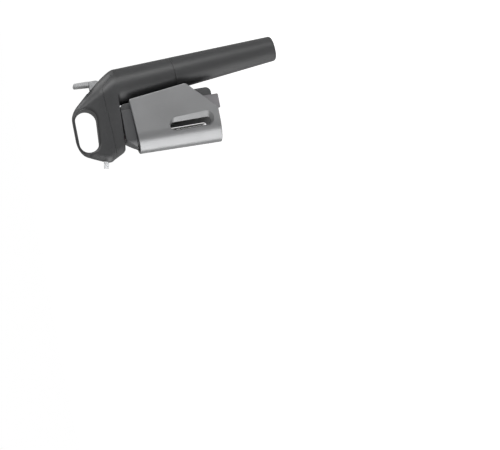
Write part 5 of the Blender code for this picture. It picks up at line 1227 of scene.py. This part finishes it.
class DISPENSER_OT_stage(Operator):
    """Sets the pale floor, the surrounding light, the lamps and the photograph's camera"""

    bl_idname = "dispenser.stage"
    bl_label = "Stage"

    def execute(self, context):
        stage = context.scene.dispenser_stage
        photo_camera()
        corners = FLOOR_REACH * np.array([(-1.0, -1.0), (1.0, -1.0), (1.0, 1.0), (-1.0, 1.0)])
        floor = slab("floor", corners, -stage.floor_drop - FLOOR_THICKNESS, -stage.floor_drop)
        floor.data.materials.append(self.floor_material())
        self.world(context, stage.world_strength)
        soft_lamp("key_lamp", KEY_PLACE, KEY_SIZE, stage.key_power)
        soft_lamp("low_lamp", LOW_PLACE, LOW_SIZE, stage.low_power)
        soft_lamp("rear_lamp", REAR_PLACE, REAR_SIZE, stage.rear_power)
        context.scene.view_settings.view_transform = "Standard"
        return {"FINISHED"}

    def floor_material(self):
        """A pale floor that reads as plain white to the camera, a little darker where it is shaded."""
        made, nodes, links = node_tree("pale_floor")
        diffuse = nodes["Principled BSDF"]
        diffuse.inputs["Roughness"].default_value = 0.9
        diffuse.inputs["Specular IOR Level"].default_value = 0.1
        dust = pattern(nodes, links, "ShaderNodeTexNoise", 6.0, 4.0)
        paint = tinted(nodes, links, dust, (0.80, 0.80, 0.80), (0.82, 0.82, 0.82))
        links.new(paint, diffuse.inputs["Base Color"])
        glow = nodes.new("ShaderNodeEmission")
        glow.inputs["Color"].default_value = (1.0, 1.0, 1.0, 1.0)
        glow.inputs["Strength"].default_value = FLOOR_GLOW
        both = nodes.new("ShaderNodeAddShader")
        links.new(diffuse.outputs["BSDF"], both.inputs[0])
        links.new(glow.outputs["Emission"], both.inputs[1])
        choice = nodes.new("ShaderNodeMixShader")
        links.new(camera_share(nodes, links), choice.inputs["Fac"])
        links.new(diffuse.outputs["BSDF"], choice.inputs[1])
        links.new(both.outputs["Shader"], choice.inputs[2])
        links.new(choice.outputs["Shader"], nodes["Material Output"].inputs["Surface"])
        return made

    def world(self, context, strength):
        """Even light from all round, seen as plain white by the camera and through clear parts."""
        world = bpy.data.worlds.new("surroundings")
        context.scene.world = world
        world.use_nodes = True
        nodes, links = world.node_tree.nodes, world.node_tree.links
        even = nodes["Background"]
        even.inputs["Color"].default_value = (1.0, 1.0, 1.0, 1.0)
        even.inputs["Strength"].default_value = strength
        white = nodes.new("ShaderNodeBackground")
        white.inputs["Color"].default_value = (1.0, 1.0, 1.0, 1.0)
        white.inputs["Strength"].default_value = 1.0
        choice = nodes.new("ShaderNodeMixShader")
        links.new(camera_share(nodes, links), choice.inputs["Fac"])
        links.new(even.outputs["Background"], choice.inputs[1])
        links.new(white.outputs["Background"], choice.inputs[2])
        links.new(choice.outputs["Shader"], nodes["World Output"].inputs["Surface"])


class DISPENSER_PT_panel(Panel):
    """Lists the pieces and the settings of the look"""

    bl_label = "Gas Dispenser"
    bl_space_type = "VIEW_3D"
    bl_region_type = "UI"
    bl_category = "Dispenser"

    def draw(self, context):
        column = self.layout.column()
        for operator in PIECES:
            column.operator(operator.bl_idname)
        for settings in (
            context.scene.dispenser_finish,
            context.scene.dispenser_shape,
            context.scene.dispenser_stage,
        ):
            box = self.layout.box()
            for name in settings.__annotations__:
                box.prop(settings, name)


PIECES = (
    DISPENSER_OT_body,
    DISPENSER_OT_cup,
    DISPENSER_OT_jaws,
    DISPENSER_OT_clamp,
    DISPENSER_OT_trigger,
    DISPENSER_OT_needle,
    DISPENSER_OT_inner_parts,
    DISPENSER_OT_stage,
)
CLASSES = (FinishSettings, ShapeSettings, StageSettings, *PIECES, DISPENSER_PT_panel)


def register():
    for cls in CLASSES:
        bpy.utils.register_class(cls)
    bpy.types.Scene.dispenser_finish = PointerProperty(type=FinishSettings)
    bpy.types.Scene.dispenser_shape = PointerProperty(type=ShapeSettings)
    bpy.types.Scene.dispenser_stage = PointerProperty(type=StageSettings)


def unregister():
    del bpy.types.Scene.dispenser_stage
    del bpy.types.Scene.dispenser_shape
    del bpy.types.Scene.dispenser_finish
    for cls in reversed(CLASSES):
        bpy.utils.unregister_class(cls)


def main():
    register()
    bpy.ops.dispenser.body()
    bpy.ops.dispenser.cup()
    bpy.ops.dispenser.jaws()
    bpy.ops.dispenser.clamp()
    bpy.ops.dispenser.trigger()
    bpy.ops.dispenser.needle()
    bpy.ops.dispenser.inner_parts()
    bpy.ops.dispenser.stage()


if __name__ == "__main__":
    main()
